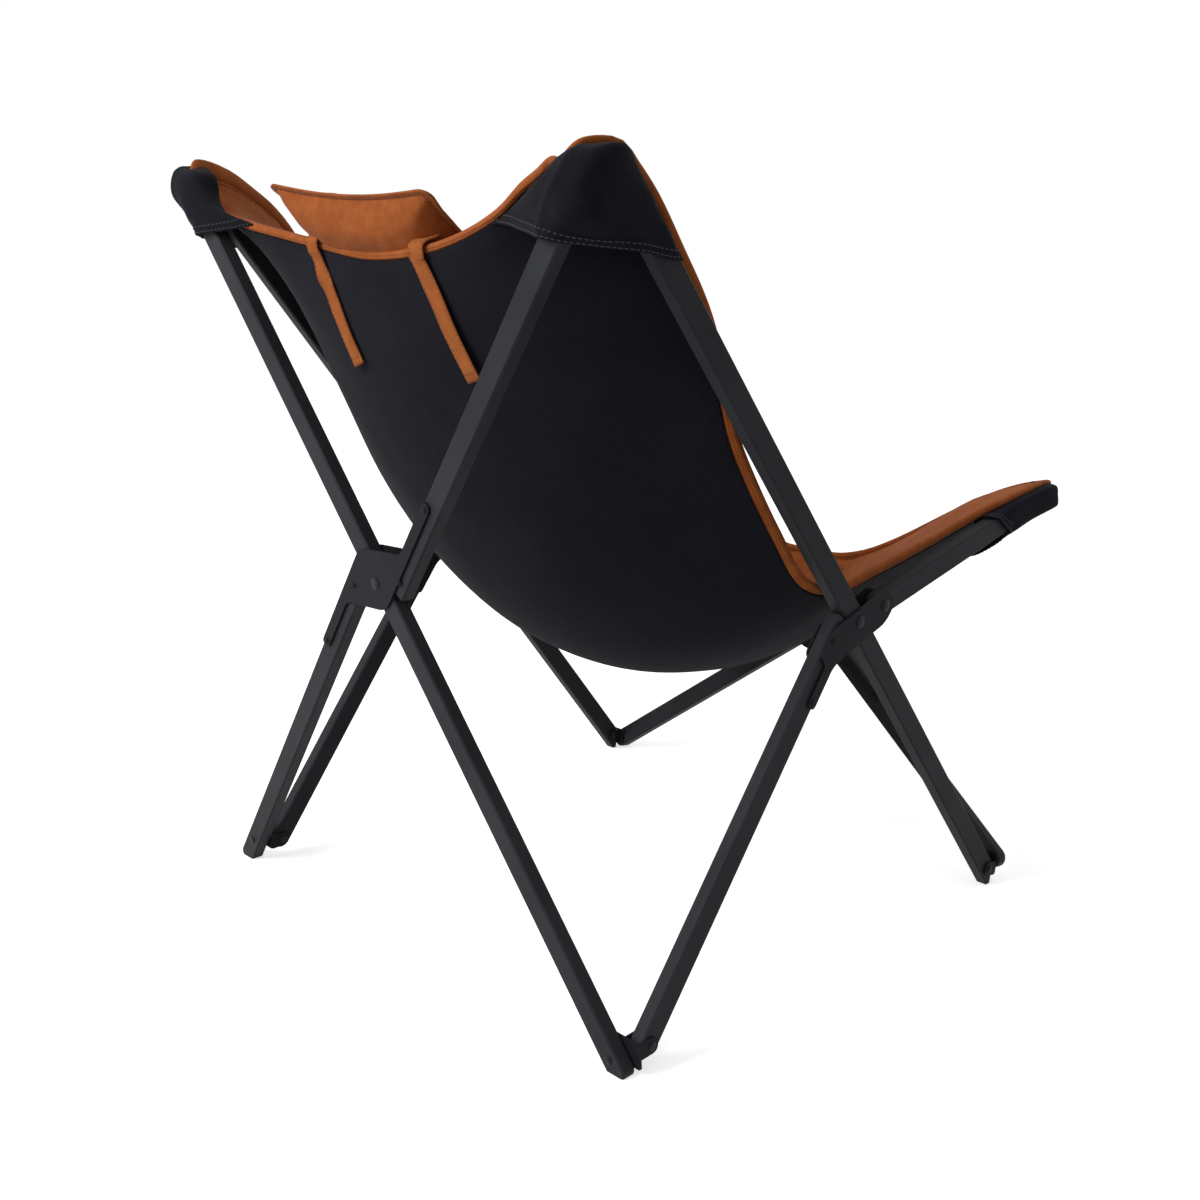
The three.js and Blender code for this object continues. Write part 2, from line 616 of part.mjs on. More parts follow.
// Closed skin between two offsets of the sling form
function slingShell(near, far, limitA, fromB, toB, cellsA, cellsB) {
  const positions = [];
  const index = [];
  const rows = cellsB + 1;
  const cols = cellsA + 1;
  [near, far].forEach((offset) => {
    for (let j = 0; j < rows; j += 1) {
      for (let i = 0; i < cols; i += 1) {
        const a = limitA * (-1 + (2 * i) / cellsA);
        const b = fromB + ((toB - fromB) * j) / cellsB;
        const thick = typeof offset === 'function' ? offset(a / limitA, j / cellsB) : offset;
        const point = slingPoint(a, b).add(slingNormal(a, b).multiplyScalar(thick));
        positions.push(point.x, point.y, point.z);
      }
    }
  });
  const at = (layer, j, i) => layer * rows * cols + j * cols + i;
  const quad = (p, q, r, s) => index.push(p, q, r, p, r, s);
  for (let j = 0; j < cellsB; j += 1) {
    for (let i = 0; i < cellsA; i += 1) {
      quad(at(1, j, i), at(1, j + 1, i), at(1, j + 1, i + 1), at(1, j, i + 1));
      quad(at(0, j, i), at(0, j, i + 1), at(0, j + 1, i + 1), at(0, j + 1, i));
    }
  }
  for (let i = 0; i < cellsA; i += 1) {
    quad(at(0, 0, i), at(1, 0, i), at(1, 0, i + 1), at(0, 0, i + 1));
    quad(at(0, cellsB, i), at(0, cellsB, i + 1), at(1, cellsB, i + 1), at(1, cellsB, i));
  }
  for (let j = 0; j < cellsB; j += 1) {
    quad(at(0, j, 0), at(0, j + 1, 0), at(1, j + 1, 0), at(1, j, 0));
    quad(at(0, j, cellsA), at(1, j, cellsA), at(1, j + 1, cellsA), at(0, j + 1, cellsA));
  }
  const geometry = new THREE.BufferGeometry();
  geometry.setAttribute('position', new THREE.Float32BufferAttribute(positions, 3));
  geometry.setIndex(index);
  geometry.computeVertexNormals();
  return geometry;
}

place(chair, 'sling', slingShell(-CANVAS_THICK, 0, 1, 0, 1, 16, 22), canvas());

// Padded cover: full between its stitched channels, thin at the edge band
function coverTop(a, b) {
  const edge = Math.min(1 - Math.abs(a), b * 2.2, (1 - b) * 2.2);
  const swell = Math.min(1, Math.sqrt(Math.max(edge, 0) / 0.16));
  const channel = 1 - 0.3 * Math.exp(-(((b - 0.46) / 0.025) ** 2));
  return SOFT_GAP + 5 + (COVER_THICK - 5) * swell * channel;
}
place(chair, 'cover', slingShell(SOFT_GAP, coverTop, 0.985, 0.006, 0.99, 16, 22), suede());

// Outline of a thin wall that follows a path
function wallShape(path, thick) {
  const sideA = [];
  const sideB = [];
  path.forEach((point, i) => {
    const ahead = path[Math.min(i + 1, path.length - 1)];
    const behind = path[Math.max(i - 1, 0)];
    const along = ahead.clone().sub(behind).normalize();
    const across = new THREE.Vector2(-along.y, along.x).multiplyScalar(thick / 2);
    sideA.push(point.clone().add(across));
    sideB.unshift(point.clone().sub(across));
  });
  return new THREE.Shape([...sideA, ...sideB]);
}

// Corner pockets: a wall round the outside of a corner, from the sling's end edge to its side edge,
// cut to slope away from the peak
function pocket(name, hand, cornerY, barEndX, reachX, reachY, low, high, cuts, returnLow) {
  const pinEnd = SIDE_X + PLATE_BACK + FACE_GAP + HEAD_HEIGHT;
  const outX = Math.max(pinEnd, barEndX + HALF_WIDTH) + PIN_CLEAR + POCKET_THICK / 2;
  const toMiddle = cornerY > 0 ? -1 : 1;
  const endEdge = slingPoint((outX - reachX) / SLING_HALF, cornerY > 0 ? 0 : 1);
  const turnIn = cornerY + toMiddle * reachY;
  const seam = Math.sign(cornerY) * (CANVAS_THICK + POCKET_THICK / 2 + SEAM_GAP);
  const path = [
    new THREE.Vector2(hand * (outX - reachX), endEdge.y + seam),
    new THREE.Vector2(hand * (outX - reachX + 26), cornerY),
    new THREE.Vector2(hand * (outX - 8), cornerY),
    new THREE.Vector2(hand * (outX - 2), cornerY + toMiddle * 2),
    new THREE.Vector2(hand * outX, cornerY + toMiddle * 8),
    new THREE.Vector2(hand * outX, turnIn - toMiddle * 8),
    new THREE.Vector2(hand * (outX - 6), turnIn),
    new THREE.Vector2(hand * (SLING_HALF + CANVAS_THICK + SEAM_GAP / 2), turnIn),
  ];
  if (hand * toMiddle > 0) path.reverse();
  const wall = new THREE.ExtrudeGeometry(wallShape(path, POCKET_THICK), {
    depth: high - low,
    bevelEnabled: false,
  });
  wall.translate(0, 0, low);
  let body = solid(wall);
  cuts.forEach(({ axis, from, to, above }) => {
    const slope = new THREE.Vector2(to[0] - from[0], to[1] - from[1]).normalize();
    const block = new THREE.BoxGeometry(600, 600, 600);
    block.translate(0, 0, above ? 300 : -300);
    if (axis === 'y') {
      block.rotateX(Math.atan2(slope.y * Math.sign(slope.x), Math.abs(slope.x)));
      block.translate(hand * (outX + 254), from[0], from[1]);
    } else {
      block.rotateY(-Math.atan2(slope.y * Math.sign(slope.x), Math.abs(slope.x)) * hand);
      block.translate(hand * from[0], cornerY - toMiddle * 246, from[1]);
    }
    body = body.subtract(solid(block));
  });
  const railInner = SIDE_X - HALF_THICK - 1;
  const under = new THREE.BoxGeometry(outX - 3 - railInner, 40, 300);
  under.translate((hand * (outX - 3 + railInner)) / 2, turnIn, returnLow - 150);
  body = body.subtract(solid(under));
  place(chair, name, geometryOf(body), canvas());
}

const rearPanel = backPlane.y + (topZ - BACK_PIVOT_Z) * Math.tan(backPlane.tilt)
  + HALF_THICK + FACE_GAP + HEAD_HEIGHT + 2 + POCKET_THICK;
const frontPanel = frontPlane.y + (tipZ - FRONT_PIVOT_Z) * Math.tan(frontPlane.tilt)
  - HALF_THICK - FACE_GAP - HEAD_HEIGHT - 4 - POCKET_THICK;
const rearCuts = [
  { axis: 'y', from: [topY + 28, topZ + 25], to: [topY - 120, topZ - 78], above: true },
  { axis: 'x', from: [SIDE_X - 18, topZ + 25], to: [SIDE_X - 128, topZ - 58], above: true },
];
const frontCuts = [
  { axis: 'y', from: [tipY - 30, tipZ + 18], to: [tipY + 150, tipZ - 12], above: true },
  { axis: 'y', from: [tipY - 4, tipZ - 18], to: [tipY + 150, tipZ - 49], above: false },
  { axis: 'x', from: [SIDE_X - 4, tipZ + 18], to: [SIDE_X - 125, tipZ - 22], above: true },
  { axis: 'x', from: [SIDE_X - 50, tipZ - 52], to: [SIDE_X - 125, tipZ - 36], above: false },
];
const railSlope = Math.tan(Math.PI - railTurn);
const railTopAt = (y) => SIDE_PIVOT[1] + railHinge.y + (SIDE_PIVOT[0] + railHinge.x - y) * railSlope
  + HALF_WIDTH / Math.abs(Math.cos(railTurn));
const railPass = railTopAt(frontPanel + FRONT_POCKET - 10) + 1;
const hands = [
  ['right', -1, -backSplitTop[0], -frontStraightTop[0]],
  ['left', 1, backStraightTop[0], frontSplitTop[0]],
];
const backPass = topZ - 84;
hands.forEach(([side, hand, backEnd, frontEnd]) => {
  const backFit = [rearPanel, backEnd, 142, BACK_POCKET, topZ - 80, topZ + 24, rearCuts, backPass];
  const frontFit = [frontPanel, frontEnd, 140, FRONT_POCKET, tipZ - 52, tipZ + 24, frontCuts, railPass];
  pocket(`pocket_back_${side}`, hand, ...backFit);
  pocket(`pocket_front_${side}`, hand, ...frontFit);
});

// Head pillow: two bowed faces meeting in a seam
function pillowGeometry(halfX, halfZ, depth) {
  const cellsX = 16;
  const cellsZ = 8;
  const positions = [];
  const index = [];
  const grid = [];
  const add = (x, y, z) => {
    positions.push(x, y, z);
    return positions.length / 3 - 1;
  };
  [1, -1].forEach((face, layer) => {
    grid.push([]);
    for (let j = 0; j <= cellsZ; j += 1) {
      grid[layer].push([]);
      for (let i = 0; i <= cellsX; i += 1) {
        const u = -1 + (2 * i) / cellsX;
        const v = -1 + (2 * j) / cellsZ;
        const rim = i === 0 || j === 0 || i === cellsX || j === cellsZ;
        const bulge = depth * Math.sqrt((1 - Math.abs(u) ** 3) * (1 - Math.abs(v) ** 3));
        const x = halfX * u * (1 - 0.06 * (1 - v * v));
        const z = halfZ * v * (1 - 0.1 * (1 - u * u));
        if (layer === 1 && rim) grid[1][j].push(grid[0][j][i]);
        else grid[layer][j].push(add(x, face * bulge - 0.0004 * x * x, z));
      }
    }
  });
  for (let j = 0; j < cellsZ; j += 1) {
    for (let i = 0; i < cellsX; i += 1) {
      const [p, q] = [grid[0], grid[1]];
      index.push(p[j][i], p[j + 1][i], p[j + 1][i + 1], p[j][i], p[j + 1][i + 1], p[j][i + 1]);
      index.push(q[j][i], q[j + 1][i + 1], q[j + 1][i], q[j][i], q[j][i + 1], q[j + 1][i + 1]);
    }
  }
  const geometry = new THREE.BufferGeometry();
  geometry.setAttribute('position', new THREE.Float32BufferAttribute(positions, 3));
  geometry.setIndex(index);
  return geometryOf(solid(geometry));
}
const pillow = place(chair, 'head_pillow', pillowGeometry(137, 70, 28), suede(), [0, topY - 10, topZ - 46]);
pillow.rotation.set(-0.88, 0, 0);

// Pillow straps: ribbons over the top edge and down the back of the sling
function strap(name, x, width) {
  const a = x / (SLING_HALF - 8);
  const path = [];
  const rear = CANVAS_THICK + STRAP_THICK / 2 + STRAP_EASE;
  for (let k = 6; k >= 0; k -= 1) {
    const b = 0.004 + k * 0.021;
    const point = slingPoint(a, b).add(slingNormal(a, b).multiplyScalar(-rear));
    path.push(new THREE.Vector2(point.y, point.z));
  }
  const top = slingPoint(a, 0);
  path.push(new THREE.Vector2(top.y + 2, top.z + 6));
  path.push(new THREE.Vector2(top.y - 2, top.z + 16.7));
  const ribbon = prism(wallShape(path, STRAP_THICK), width);
  const yAxis = new THREE.Vector3(0, 1, 0);
  const zAxis = new THREE.Vector3(0, 0, 1);
  ribbon.applyMatrix4(new THREE.Matrix4().makeBasis(yAxis, zAxis, new THREE.Vector3(1, 0, 0)));
  place(chair, name, ribbon, suede(), [x, 0, 0]);
}
strap('strap_right', -88, 26);
strap('strap_left', 88, 22);

// Put the origin on the floor under the middle of the chair's own box
chair.updateMatrixWorld(true);
const box = new THREE.Box3().setFromObject(chair, true);
const centre = box.getCenter(new THREE.Vector3());
chair.position.set(-centre.x, -centre.y, -box.min.z);

export default chair;
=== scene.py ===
"""Looks for the folding butterfly sling chair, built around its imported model."""
import math

import bpy
import numpy as np
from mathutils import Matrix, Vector, noise


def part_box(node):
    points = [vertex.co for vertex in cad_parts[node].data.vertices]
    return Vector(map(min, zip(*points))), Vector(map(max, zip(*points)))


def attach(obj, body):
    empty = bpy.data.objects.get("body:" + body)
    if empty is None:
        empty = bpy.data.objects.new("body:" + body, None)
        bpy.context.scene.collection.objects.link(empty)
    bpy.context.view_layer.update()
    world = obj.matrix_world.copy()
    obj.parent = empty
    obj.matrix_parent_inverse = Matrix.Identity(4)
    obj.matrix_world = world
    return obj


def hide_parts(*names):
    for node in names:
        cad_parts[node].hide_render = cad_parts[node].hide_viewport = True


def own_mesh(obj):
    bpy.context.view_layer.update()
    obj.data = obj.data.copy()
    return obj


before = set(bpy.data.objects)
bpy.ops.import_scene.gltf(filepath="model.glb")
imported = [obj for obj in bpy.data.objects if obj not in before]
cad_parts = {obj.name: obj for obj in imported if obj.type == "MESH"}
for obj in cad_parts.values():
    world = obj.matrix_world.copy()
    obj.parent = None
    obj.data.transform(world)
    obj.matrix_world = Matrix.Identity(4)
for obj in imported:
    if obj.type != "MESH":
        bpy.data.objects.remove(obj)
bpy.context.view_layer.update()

# Lengths are millimetres in the drawing frame, tied to the model by its right side pivot
MM = 1000.0
TINY = 1e-9
PIVOT = np.array((-350.0, -52.3, 411.2))
pin_low, pin_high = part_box("side_pivot_pin_right")
SHIFT = np.array([(low + high) / 2 * MM for low, high in zip(pin_low, pin_high)]) - PIVOT


def placed(points):
    """Drawing points in the model's frame, in metres."""
    return (np.asarray(points, float) + SHIFT) / MM


def unit(vectors):
    return vectors / np.maximum(np.linalg.norm(vectors, axis=-1, keepdims=True), TINY)


def smoothstep(x, low, high):
    t = np.clip((x - low) / (high - low), 0, 1)
    return t * t * (3 - 2 * t)


def bell(x, centre, width):
    return np.exp(-(((x - centre) / width) ** 2))


def run_along(points, axis=0):
    """Distance run along one axis of a line or grid of points."""
    steps = np.linalg.norm(np.diff(points, axis=axis), axis=-1)
    total = np.cumsum(steps, axis=axis)
    return np.concatenate((np.zeros_like(total.take([0], axis)), total), axis=axis)


# Smooth lines through points, measured along their length
LINE_STEPS = 16


def smooth_line(points, steps=LINE_STEPS):
    """Samples of a curve that runs through every point, without overshoot at uneven spacing."""
    p = np.asarray(points, float)
    p = np.concatenate((2 * p[:1] - p[1:2], p, 2 * p[-1:] - p[-2:-1]))
    t = np.linspace(0, 1, steps, endpoint=False)[:, None]
    out = []
    for p0, p1, p2, p3 in zip(p, p[1:], p[2:], p[3:]):
        pairs = ((p0, p1), (p1, p2), (p2, p3))
        d0, d1, d2 = (np.linalg.norm(end - start) ** 0.5 + TINY for start, end in pairs)
        t1 = ((p1 - p0) / d0 - (p2 - p0) / (d0 + d1) + (p2 - p1) / d1) * d1
        t2 = ((p2 - p1) / d1 - (p3 - p1) / (d1 + d2) + (p3 - p2) / d2) * d1
        cubic = 2 * (p1 - p2) + t1 + t2
        square = 3 * (p2 - p1) - 2 * t1 - t2
        out.append(p1 + t * t1 + t**2 * square + t**3 * cubic)
    return np.concatenate(out + [p[-2:-1]])


class Line:
    def __init__(self, points):
        self.samples = smooth_line(points)
        self.along = run_along(self.samples)
        self.length = self.along[-1]

    def at(self, share):
        """Points at shares of the length, running straight on past either end."""
        s = np.asarray(share, float) * self.length
        p = np.stack([np.interp(s, self.along, self.samples[:, k]) for k in range(3)], -1)
        first = unit(self.samples[1] - self.samples[0])
        last = unit(self.samples[-1] - self.samples[-2])
        before = np.minimum(s, 0)[..., None] * first
        after = np.maximum(s - self.length, 0)[..., None] * last
        return p + before + after


# The hung form of the sling: an edge line for each side and a middle line, from the back top to the front top
LOW_EDGE = [
    (330, 171.7, 735), (330, 131.7, 624), (330, 104.7, 577), (330, 61.7, 515.2), (330, 13.7, 457),
    (330, -45.3, 438), (330, -120.3, 448), (330, -219.8, 465), (334, -300, 484), (341, -345, 497),
    (346, -390, 507.5), (347, -425, 514.5), (343, -450, 513), (334, -470, 509),
]
RIGHT_EDGE = Line([
    (324, 338, 889), (329, 314, 892), (330, 286, 888), (330, 268, 871), (330, 245, 846), (330, 215, 803),
] + LOW_EDGE)
LEFT_EDGE = Line([
    (324, 341, 884), (329, 320, 886), (330, 288, 876), (330, 260, 858), (330, 234, 838), (330, 206, 804),
] + LOW_EDGE)
MIDDLE = Line([
    (0, 320.7, 794), (0, 299.7, 700), (0, 259.7, 595), (0, 202.7, 490), (0, 123.7, 384.2), (0, 21.7, 308.2),
    (0, -90.3, 274.2), (0, -199.8, 266.1), (0, -309.8, 289.1), (0, -387.8, 335.1), (0, -423.8, 372.1),
])
FORM_HALF = 330.0
FORM_LENGTH = (RIGHT_EDGE.length + MIDDLE.length) / 2

# Rise of the cloth from its middle to its edges: a power that eases toward the front
BACK_POWER = 2.2
FRONT_EASE = 0.7

# Straighter rise of the top edge on the left: its straight share, rounded middle, upturned lip and reach down
TAUT_SHARE = 0.53
TAUT_ROUND = 0.06
TAUT_LIP = 14
TAUT_REACH = 0.06

# Rise of the front edge across its half width, and where along the cloth it sets in
FRONT_RISE = (0.1, 1.06)
FRONT_FROM = (0.8, 1.0)

# Notch in the rim beside the right peak: a rise and a dip, each with its height, place and width across
NOTCH_RISE, NOTCH_RISE_AT, NOTCH_RISE_WIDTH = 4, -0.8, 0.07
NOTCH_DIP, NOTCH_DIP_AT, NOTCH_DIP_WIDTH = 10, -0.985, 0.028
NOTCH_REACH = 0.03
NORMAL_STEP = 0.004


def form(a, b):
    """Points of the hung cloth, with a across from -1 to 1 and b along from 0 to 1."""
    left = a > 0
    edge = np.where(left[..., None], LEFT_EDGE.at(b), RIGHT_EDGE.at(b))
    middle = MIDDLE.at(b)
    out = np.abs(a)
    down = np.maximum(b, 0)
    pull = out ** (BACK_POWER - FRONT_EASE * np.clip(b, 0, 1) ** 3)
    straight = np.sqrt(out**2 + TAUT_ROUND**2) - TAUT_ROUND
    taut = TAUT_SHARE * straight + (1 - TAUT_SHARE) * out**TAUT_LIP
    pull = pull + (taut - pull) * np.where(left, np.exp(-down / TAUT_REACH), 0)
    pull = pull + (smoothstep(out, *FRONT_RISE) - pull) * smoothstep(b, *FRONT_FROM)
    y = middle[..., 1] + (edge[..., 1] - middle[..., 1]) * pull
    z = middle[..., 2] + (edge[..., 2] - middle[..., 2]) * pull
    notch = NOTCH_RISE * bell(a, NOTCH_RISE_AT, NOTCH_RISE_WIDTH)
    notch = notch - NOTCH_DIP * bell(a, NOTCH_DIP_AT, NOTCH_DIP_WIDTH)
    z = z + notch * np.exp(-down / NOTCH_REACH)
    return np.stack((a * edge[..., 0], y, z), -1)


def form_normal(a, b):
    """Unit normal on the seat side."""
    across = form(a + NORMAL_STEP, b) - form(a - NORMAL_STEP, b)
    along = form(a, b + NORMAL_STEP) - form(a, b - NORMAL_STEP)
    return unit(np.cross(along, across))


# Colours and nodes
def colour(text):
    """Linear colour of an sRGB hex value."""
    parts = [int(text[i:i + 2], 16) / 255 for i in (0, 2, 4)]
    return tuple(c / 12.92 if c <= 0.04045 else ((c + 0.055) / 1.055) ** 2.4 for c in parts) + (1.0,)


def grey(value):
    return (value, value, value, 1.0)


def new_material(name):
    material = bpy.data.materials.new(name)
    material.use_nodes = True
    material.node_tree.nodes.clear()
    return material


def add(owner, kind, settings=None, stops=(), **inputs):
    """Adds a node; inputs are constants or sockets, by name or by number after an underscore."""
    node = owner.node_tree.nodes.new(kind)
    for key, value in (settings or {}).items():
        setattr(node, key, value)
    if stops:
        elements = node.color_ramp.elements
        for k, (position, tint) in enumerate((stops[0], stops[-1])):
            elements[k].position = position
            elements[k].color = tint
        for position, tint in stops[1:-1]:
            elements.new(position).color = tint
    for key, value in inputs.items():
        socket = node.inputs[int(key[1:])] if key[0] == "_" else node.inputs[key.replace("_", " ")]
        if isinstance(value, bpy.types.NodeSocket):
            owner.node_tree.links.new(value, socket)
        else:
            socket.default_value = value
    return node


def surface(material, tint, roughness, height, bump_mm, **extra):
    """Closes a material with a bump of a real height and the shader."""
    bump = add(material, "ShaderNodeBump", Strength=1.0, Distance=bump_mm / MM, Height=height)
    shader = add(
        material, "ShaderNodeBsdfPrincipled",
        Base_Color=tint, Roughness=roughness, Normal=bump.outputs["Normal"], **extra,
    )
    add(material, "ShaderNodeOutputMaterial", Surface=shader.outputs["BSDF"])
    return material


# Sizes in millimetres of what shows in each surface
PAINT_PEEL = 1.6
PAINT_DRIFT = 90.0
CANVAS_FUZZ = 2.2
CANVAS_DRIFT = 70.0
NAP_PATCH = 14.0
NAP_DRIFT = 60.0
THREAD_FIBRE = 0.8

# At a scale of 1 a wave texture repeats every 2 pi / 20 of a metre
WAVE_TURN = 2 * math.pi / 20

# The middle stretch of a noise, where nearly all of its values lie
NOISE_LOW = 0.3
NOISE_HIGH = 0.7
SOFT_NOISE = 0.55

# How much smoother and rougher the paint is in the hollows and on the tops of its peel
PEEL_SMOOTHER = 0.05
PEEL_ROUGHER = 0.07


def powder_coat(name, dark, light, rough):
    """Baked powder paint on steel: satin black, its gloss broken up by a fine orange peel."""
    m = new_material(name)
    where = add(m, "ShaderNodeTexCoord").outputs["Object"]
    peel = add(
        m, "ShaderNodeTexNoise", Vector=where, Scale=MM / PAINT_PEEL, Detail=3.0, Roughness=SOFT_NOISE,
    ).outputs["Fac"]
    drift = add(
        m, "ShaderNodeTexNoise", Vector=where, Scale=MM / PAINT_DRIFT, Detail=2.0, Roughness=SOFT_NOISE,
    ).outputs["Fac"]
    tints = ((NOISE_LOW, colour(dark)), (NOISE_HIGH, colour(light)))
    glosses = ((NOISE_LOW, grey(rough - PEEL_SMOOTHER)), (NOISE_HIGH, grey(rough + PEEL_ROUGHER)))
    tint = add(m, "ShaderNodeValToRGB", stops=tints, Fac=drift).outputs["Color"]
    gloss = add(m, "ShaderNodeValToRGB", stops=glosses, Fac=peel).outputs["Color"]
    return surface(m, tint, roughness=gloss, height=peel, bump_mm=0.05, Specular_IOR_Level=0.06)


def woven(name, dark, light, thread_mm):
    """Dyed cotton canvas in plain weave: matt, with crossing threads, some fuzz and a faint uneven dye."""
    m = new_material(name)
    coords = add(m, "ShaderNodeTexCoord").outputs
    ribs = [
        add(
            m, "ShaderNodeTexWave", {"bands_direction": direction}, Vector=coords["UV"],
            Scale=WAVE_TURN * MM / thread_mm, Distortion=1.2, Detail=1.0, Detail_Scale=1.5,
        ).outputs["Fac"]
        for direction in "XY"
    ]
    weave = add(m, "ShaderNodeMath", {"operation": "MAXIMUM"}, _0=ribs[0], _1=ribs[1]).outputs["Value"]
    where = coords["Object"]
    fuzz = add(
        m, "ShaderNodeTexNoise", Vector=where, Scale=MM / CANVAS_FUZZ, Detail=5.0, Roughness=SOFT_NOISE,
    ).outputs["Fac"]
    dye = add(
        m, "ShaderNodeTexNoise", Vector=where, Scale=MM / CANVAS_DRIFT, Detail=4.0, Roughness=SOFT_NOISE,
    ).outputs["Fac"]
    height = add(m, "ShaderNodeMath", {"operation": "ADD"}, _0=weave, _1=fuzz).outputs["Value"]
    both = add(m, "ShaderNodeMath", {"operation": "ADD"}, _0=dye, _1=fuzz).outputs["Value"]
    mean = add(m, "ShaderNodeMath", {"operation": "MULTIPLY"}, _0=both, _1=0.5).outputs["Value"]
    tints = ((0.35, colour(dark)), (0.65, colour(light)))
    tint = add(m, "ShaderNodeValToRGB", stops=tints, Fac=mean).outputs["Color"]
    return surface(
        m, tint, roughness=0.88, height=height, bump_mm=0.16,
        Specular_IOR_Level=0.07, Sheen_Weight=0.02, Sheen_Roughness=0.5,
    )


def nap(name, dark, middle, light, nap_mm):
    """Brushed suede cloth: matt, clouded where the nap lies one way or the other, with a soft sheen."""
    m = new_material(name)
    where = add(m, "ShaderNodeTexCoord").outputs["Object"]
    drift, patch, fine = (
        add(
            m, "ShaderNodeTexNoise", Vector=where, Scale=MM / size_mm, Detail=detail, Roughness=rough,
        ).outputs["Fac"]
        for size_mm, detail, rough in ((NAP_DRIFT, 5.0, 0.6), (NAP_PATCH, 5.0, 0.65), (nap_mm, 3.0, 0.7))
    )
    broad = add(m, "ShaderNodeMath", {"operation": "MULTIPLY"}, _0=drift, _1=0.4).outputs["Value"]
    local = add(m, "ShaderNodeMath", {"operation": "MULTIPLY"}, _0=patch, _1=0.6).outputs["Value"]
    cloud = add(m, "ShaderNodeMath", {"operation": "ADD"}, _0=broad, _1=local).outputs["Value"]
    tints = ((0.3, colour(dark)), (0.5, colour(middle)), (0.72, colour(light)))
    tint = add(m, "ShaderNodeValToRGB", stops=tints, Fac=cloud).outputs["Color"]
    shades = ((NOISE_LOW, grey(0.8)), (NOISE_HIGH, grey(1.0)))
    speck = add(m, "ShaderNodeValToRGB", stops=shades, Fac=fine).outputs["Color"]
    mix = {"data_type": "RGBA", "blend_type": "MULTIPLY"}
    shaded = add(m, "ShaderNodeMix", mix, _0=1.0, _6=tint, _7=speck).outputs[2]
    height = add(m, "ShaderNodeMath", {"operation": "ADD"}, _0=fine, _1=patch).outputs["Value"]
    return surface(
        m, shaded, roughness=0.82, height=height, bump_mm=0.22,
        Specular_IOR_Level=0.12, Sheen_Weight=0.04, Sheen_Roughness=0.5,
    )


def spun_thread(name, dark, light):
    """Spun sewing thread: dull, with a fine twist of fibres."""
    m = new_material(name)
    where = add(m, "ShaderNodeTexCoord").outputs["Object"]
    fibre = add(
        m, "ShaderNodeTexNoise", Vector=where, Scale=MM / THREAD_FIBRE, Detail=2.0, Roughness=SOFT_NOISE,
    ).outputs["Fac"]
    tints = ((NOISE_LOW, colour(dark)), (NOISE_HIGH, colour(light)))
    tint = add(m, "ShaderNodeValToRGB", stops=tints, Fac=fibre).outputs["Color"]
    return surface(m, tint, roughness=0.7, height=fibre, bump_mm=0.08)


# Canvas threads and suede nap are drawn coarser than the real ones, which are too fine to show
CANVAS_THREAD = 1.1
SUEDE_NAP = 0.7
STEEL = powder_coat("powder_coated_steel", "26272a", "303134", rough=0.5)
PLATE = powder_coat("powder_coated_plate", "18191c", "1f2024", rough=0.5)
PIN = powder_coat("blackened_rivet", "232427", "303135", rough=0.3)
CANVAS = woven("black_cotton_canvas", "101016", "191920", CANVAS_THREAD)
SUEDE = nap("cognac_suede", "84421a", "985022", "ab602b", SUEDE_NAP)
STRAP = nap("cognac_suede_strap", "8a481e", "9f5726", "b06630", SUEDE_NAP)
BROWN_THREAD = spun_thread("brown_thread", "5a2b12", "774020")
BLACK_THREAD = spun_thread("black_thread", "17171b", "26262b")


# Mesh helpers
def piece(name, points, faces, material, uv=None):
    """A smooth object from drawing points, with its cloth coordinates in metres."""
    mesh = bpy.data.meshes.new(name)
    mesh.from_pydata(placed(points).tolist(), [], faces)
    mesh.polygons.foreach_set("use_smooth", [True] * len(mesh.polygons))
    mesh.materials.append(material)
    if uv is not None:
        layer = mesh.uv_layers.new(name="cloth")
        index = np.empty(len(mesh.loops), int)
        mesh.loops.foreach_get("vertex_index", index)
        layer.data.foreach_set("uv", (np.asarray(uv)[index] / MM).ravel())
    obj = bpy.data.objects.new(name, mesh)
    bpy.context.scene.collection.objects.link(obj)
    return obj


def grid_normals(points):
    down = np.gradient(points, axis=0)
    across = np.gradient(points, axis=1)
    return unit(np.cross(down, across))


def winds_toward(grid, direction):
    """True where the first corner of a grid turns its face to a direction."""
    turn = np.cross(grid[1, 0] - grid[0, 0], grid[0, 1] - grid[0, 0])
    return np.sum(turn * direction) >= 0


def shell(name, front, back, material, uv):
    """Closed skin between two grids of points with a shared outline order."""
    rows, cols = front.shape[:2]
    count = rows * cols

    def at(layer, j, i):
        return layer * count + j * cols + i

    faces = []
    for j in range(rows - 1):
        for i in range(cols - 1):
            faces.append((at(0, j, i), at(0, j + 1, i), at(0, j + 1, i + 1), at(0, j, i + 1)))
            faces.append((at(1, j, i), at(1, j, i + 1), at(1, j + 1, i + 1), at(1, j + 1, i)))
    rim = [(0, i) for i in range(cols)] + [(j, cols - 1) for j in range(1, rows)]
    rim += [(rows - 1, i) for i in range(cols - 2, -1, -1)] + [(j, 0) for j in range(rows - 2, 0, -1)]
    for (j, i), (k, m) in zip(rim, rim[1:] + rim[:1]):
        faces.append((at(0, j, i), at(0, k, m), at(1, k, m), at(1, j, i)))
    points = np.concatenate((front.reshape(-1, 3), back.reshape(-1, 3)))
    flat = uv.reshape(-1, 2)
    return piece(name, points, faces, material, np.concatenate((flat, flat)))


# Thread dashes: length, gap, half width, lift off the cloth, and how far the ends stand up
STITCH_DASH = 3.4
STITCH_GAP = 2.0
STITCH_HALF = 0.42
STITCH_LIFT = 0.2
STITCH_END = 0.1


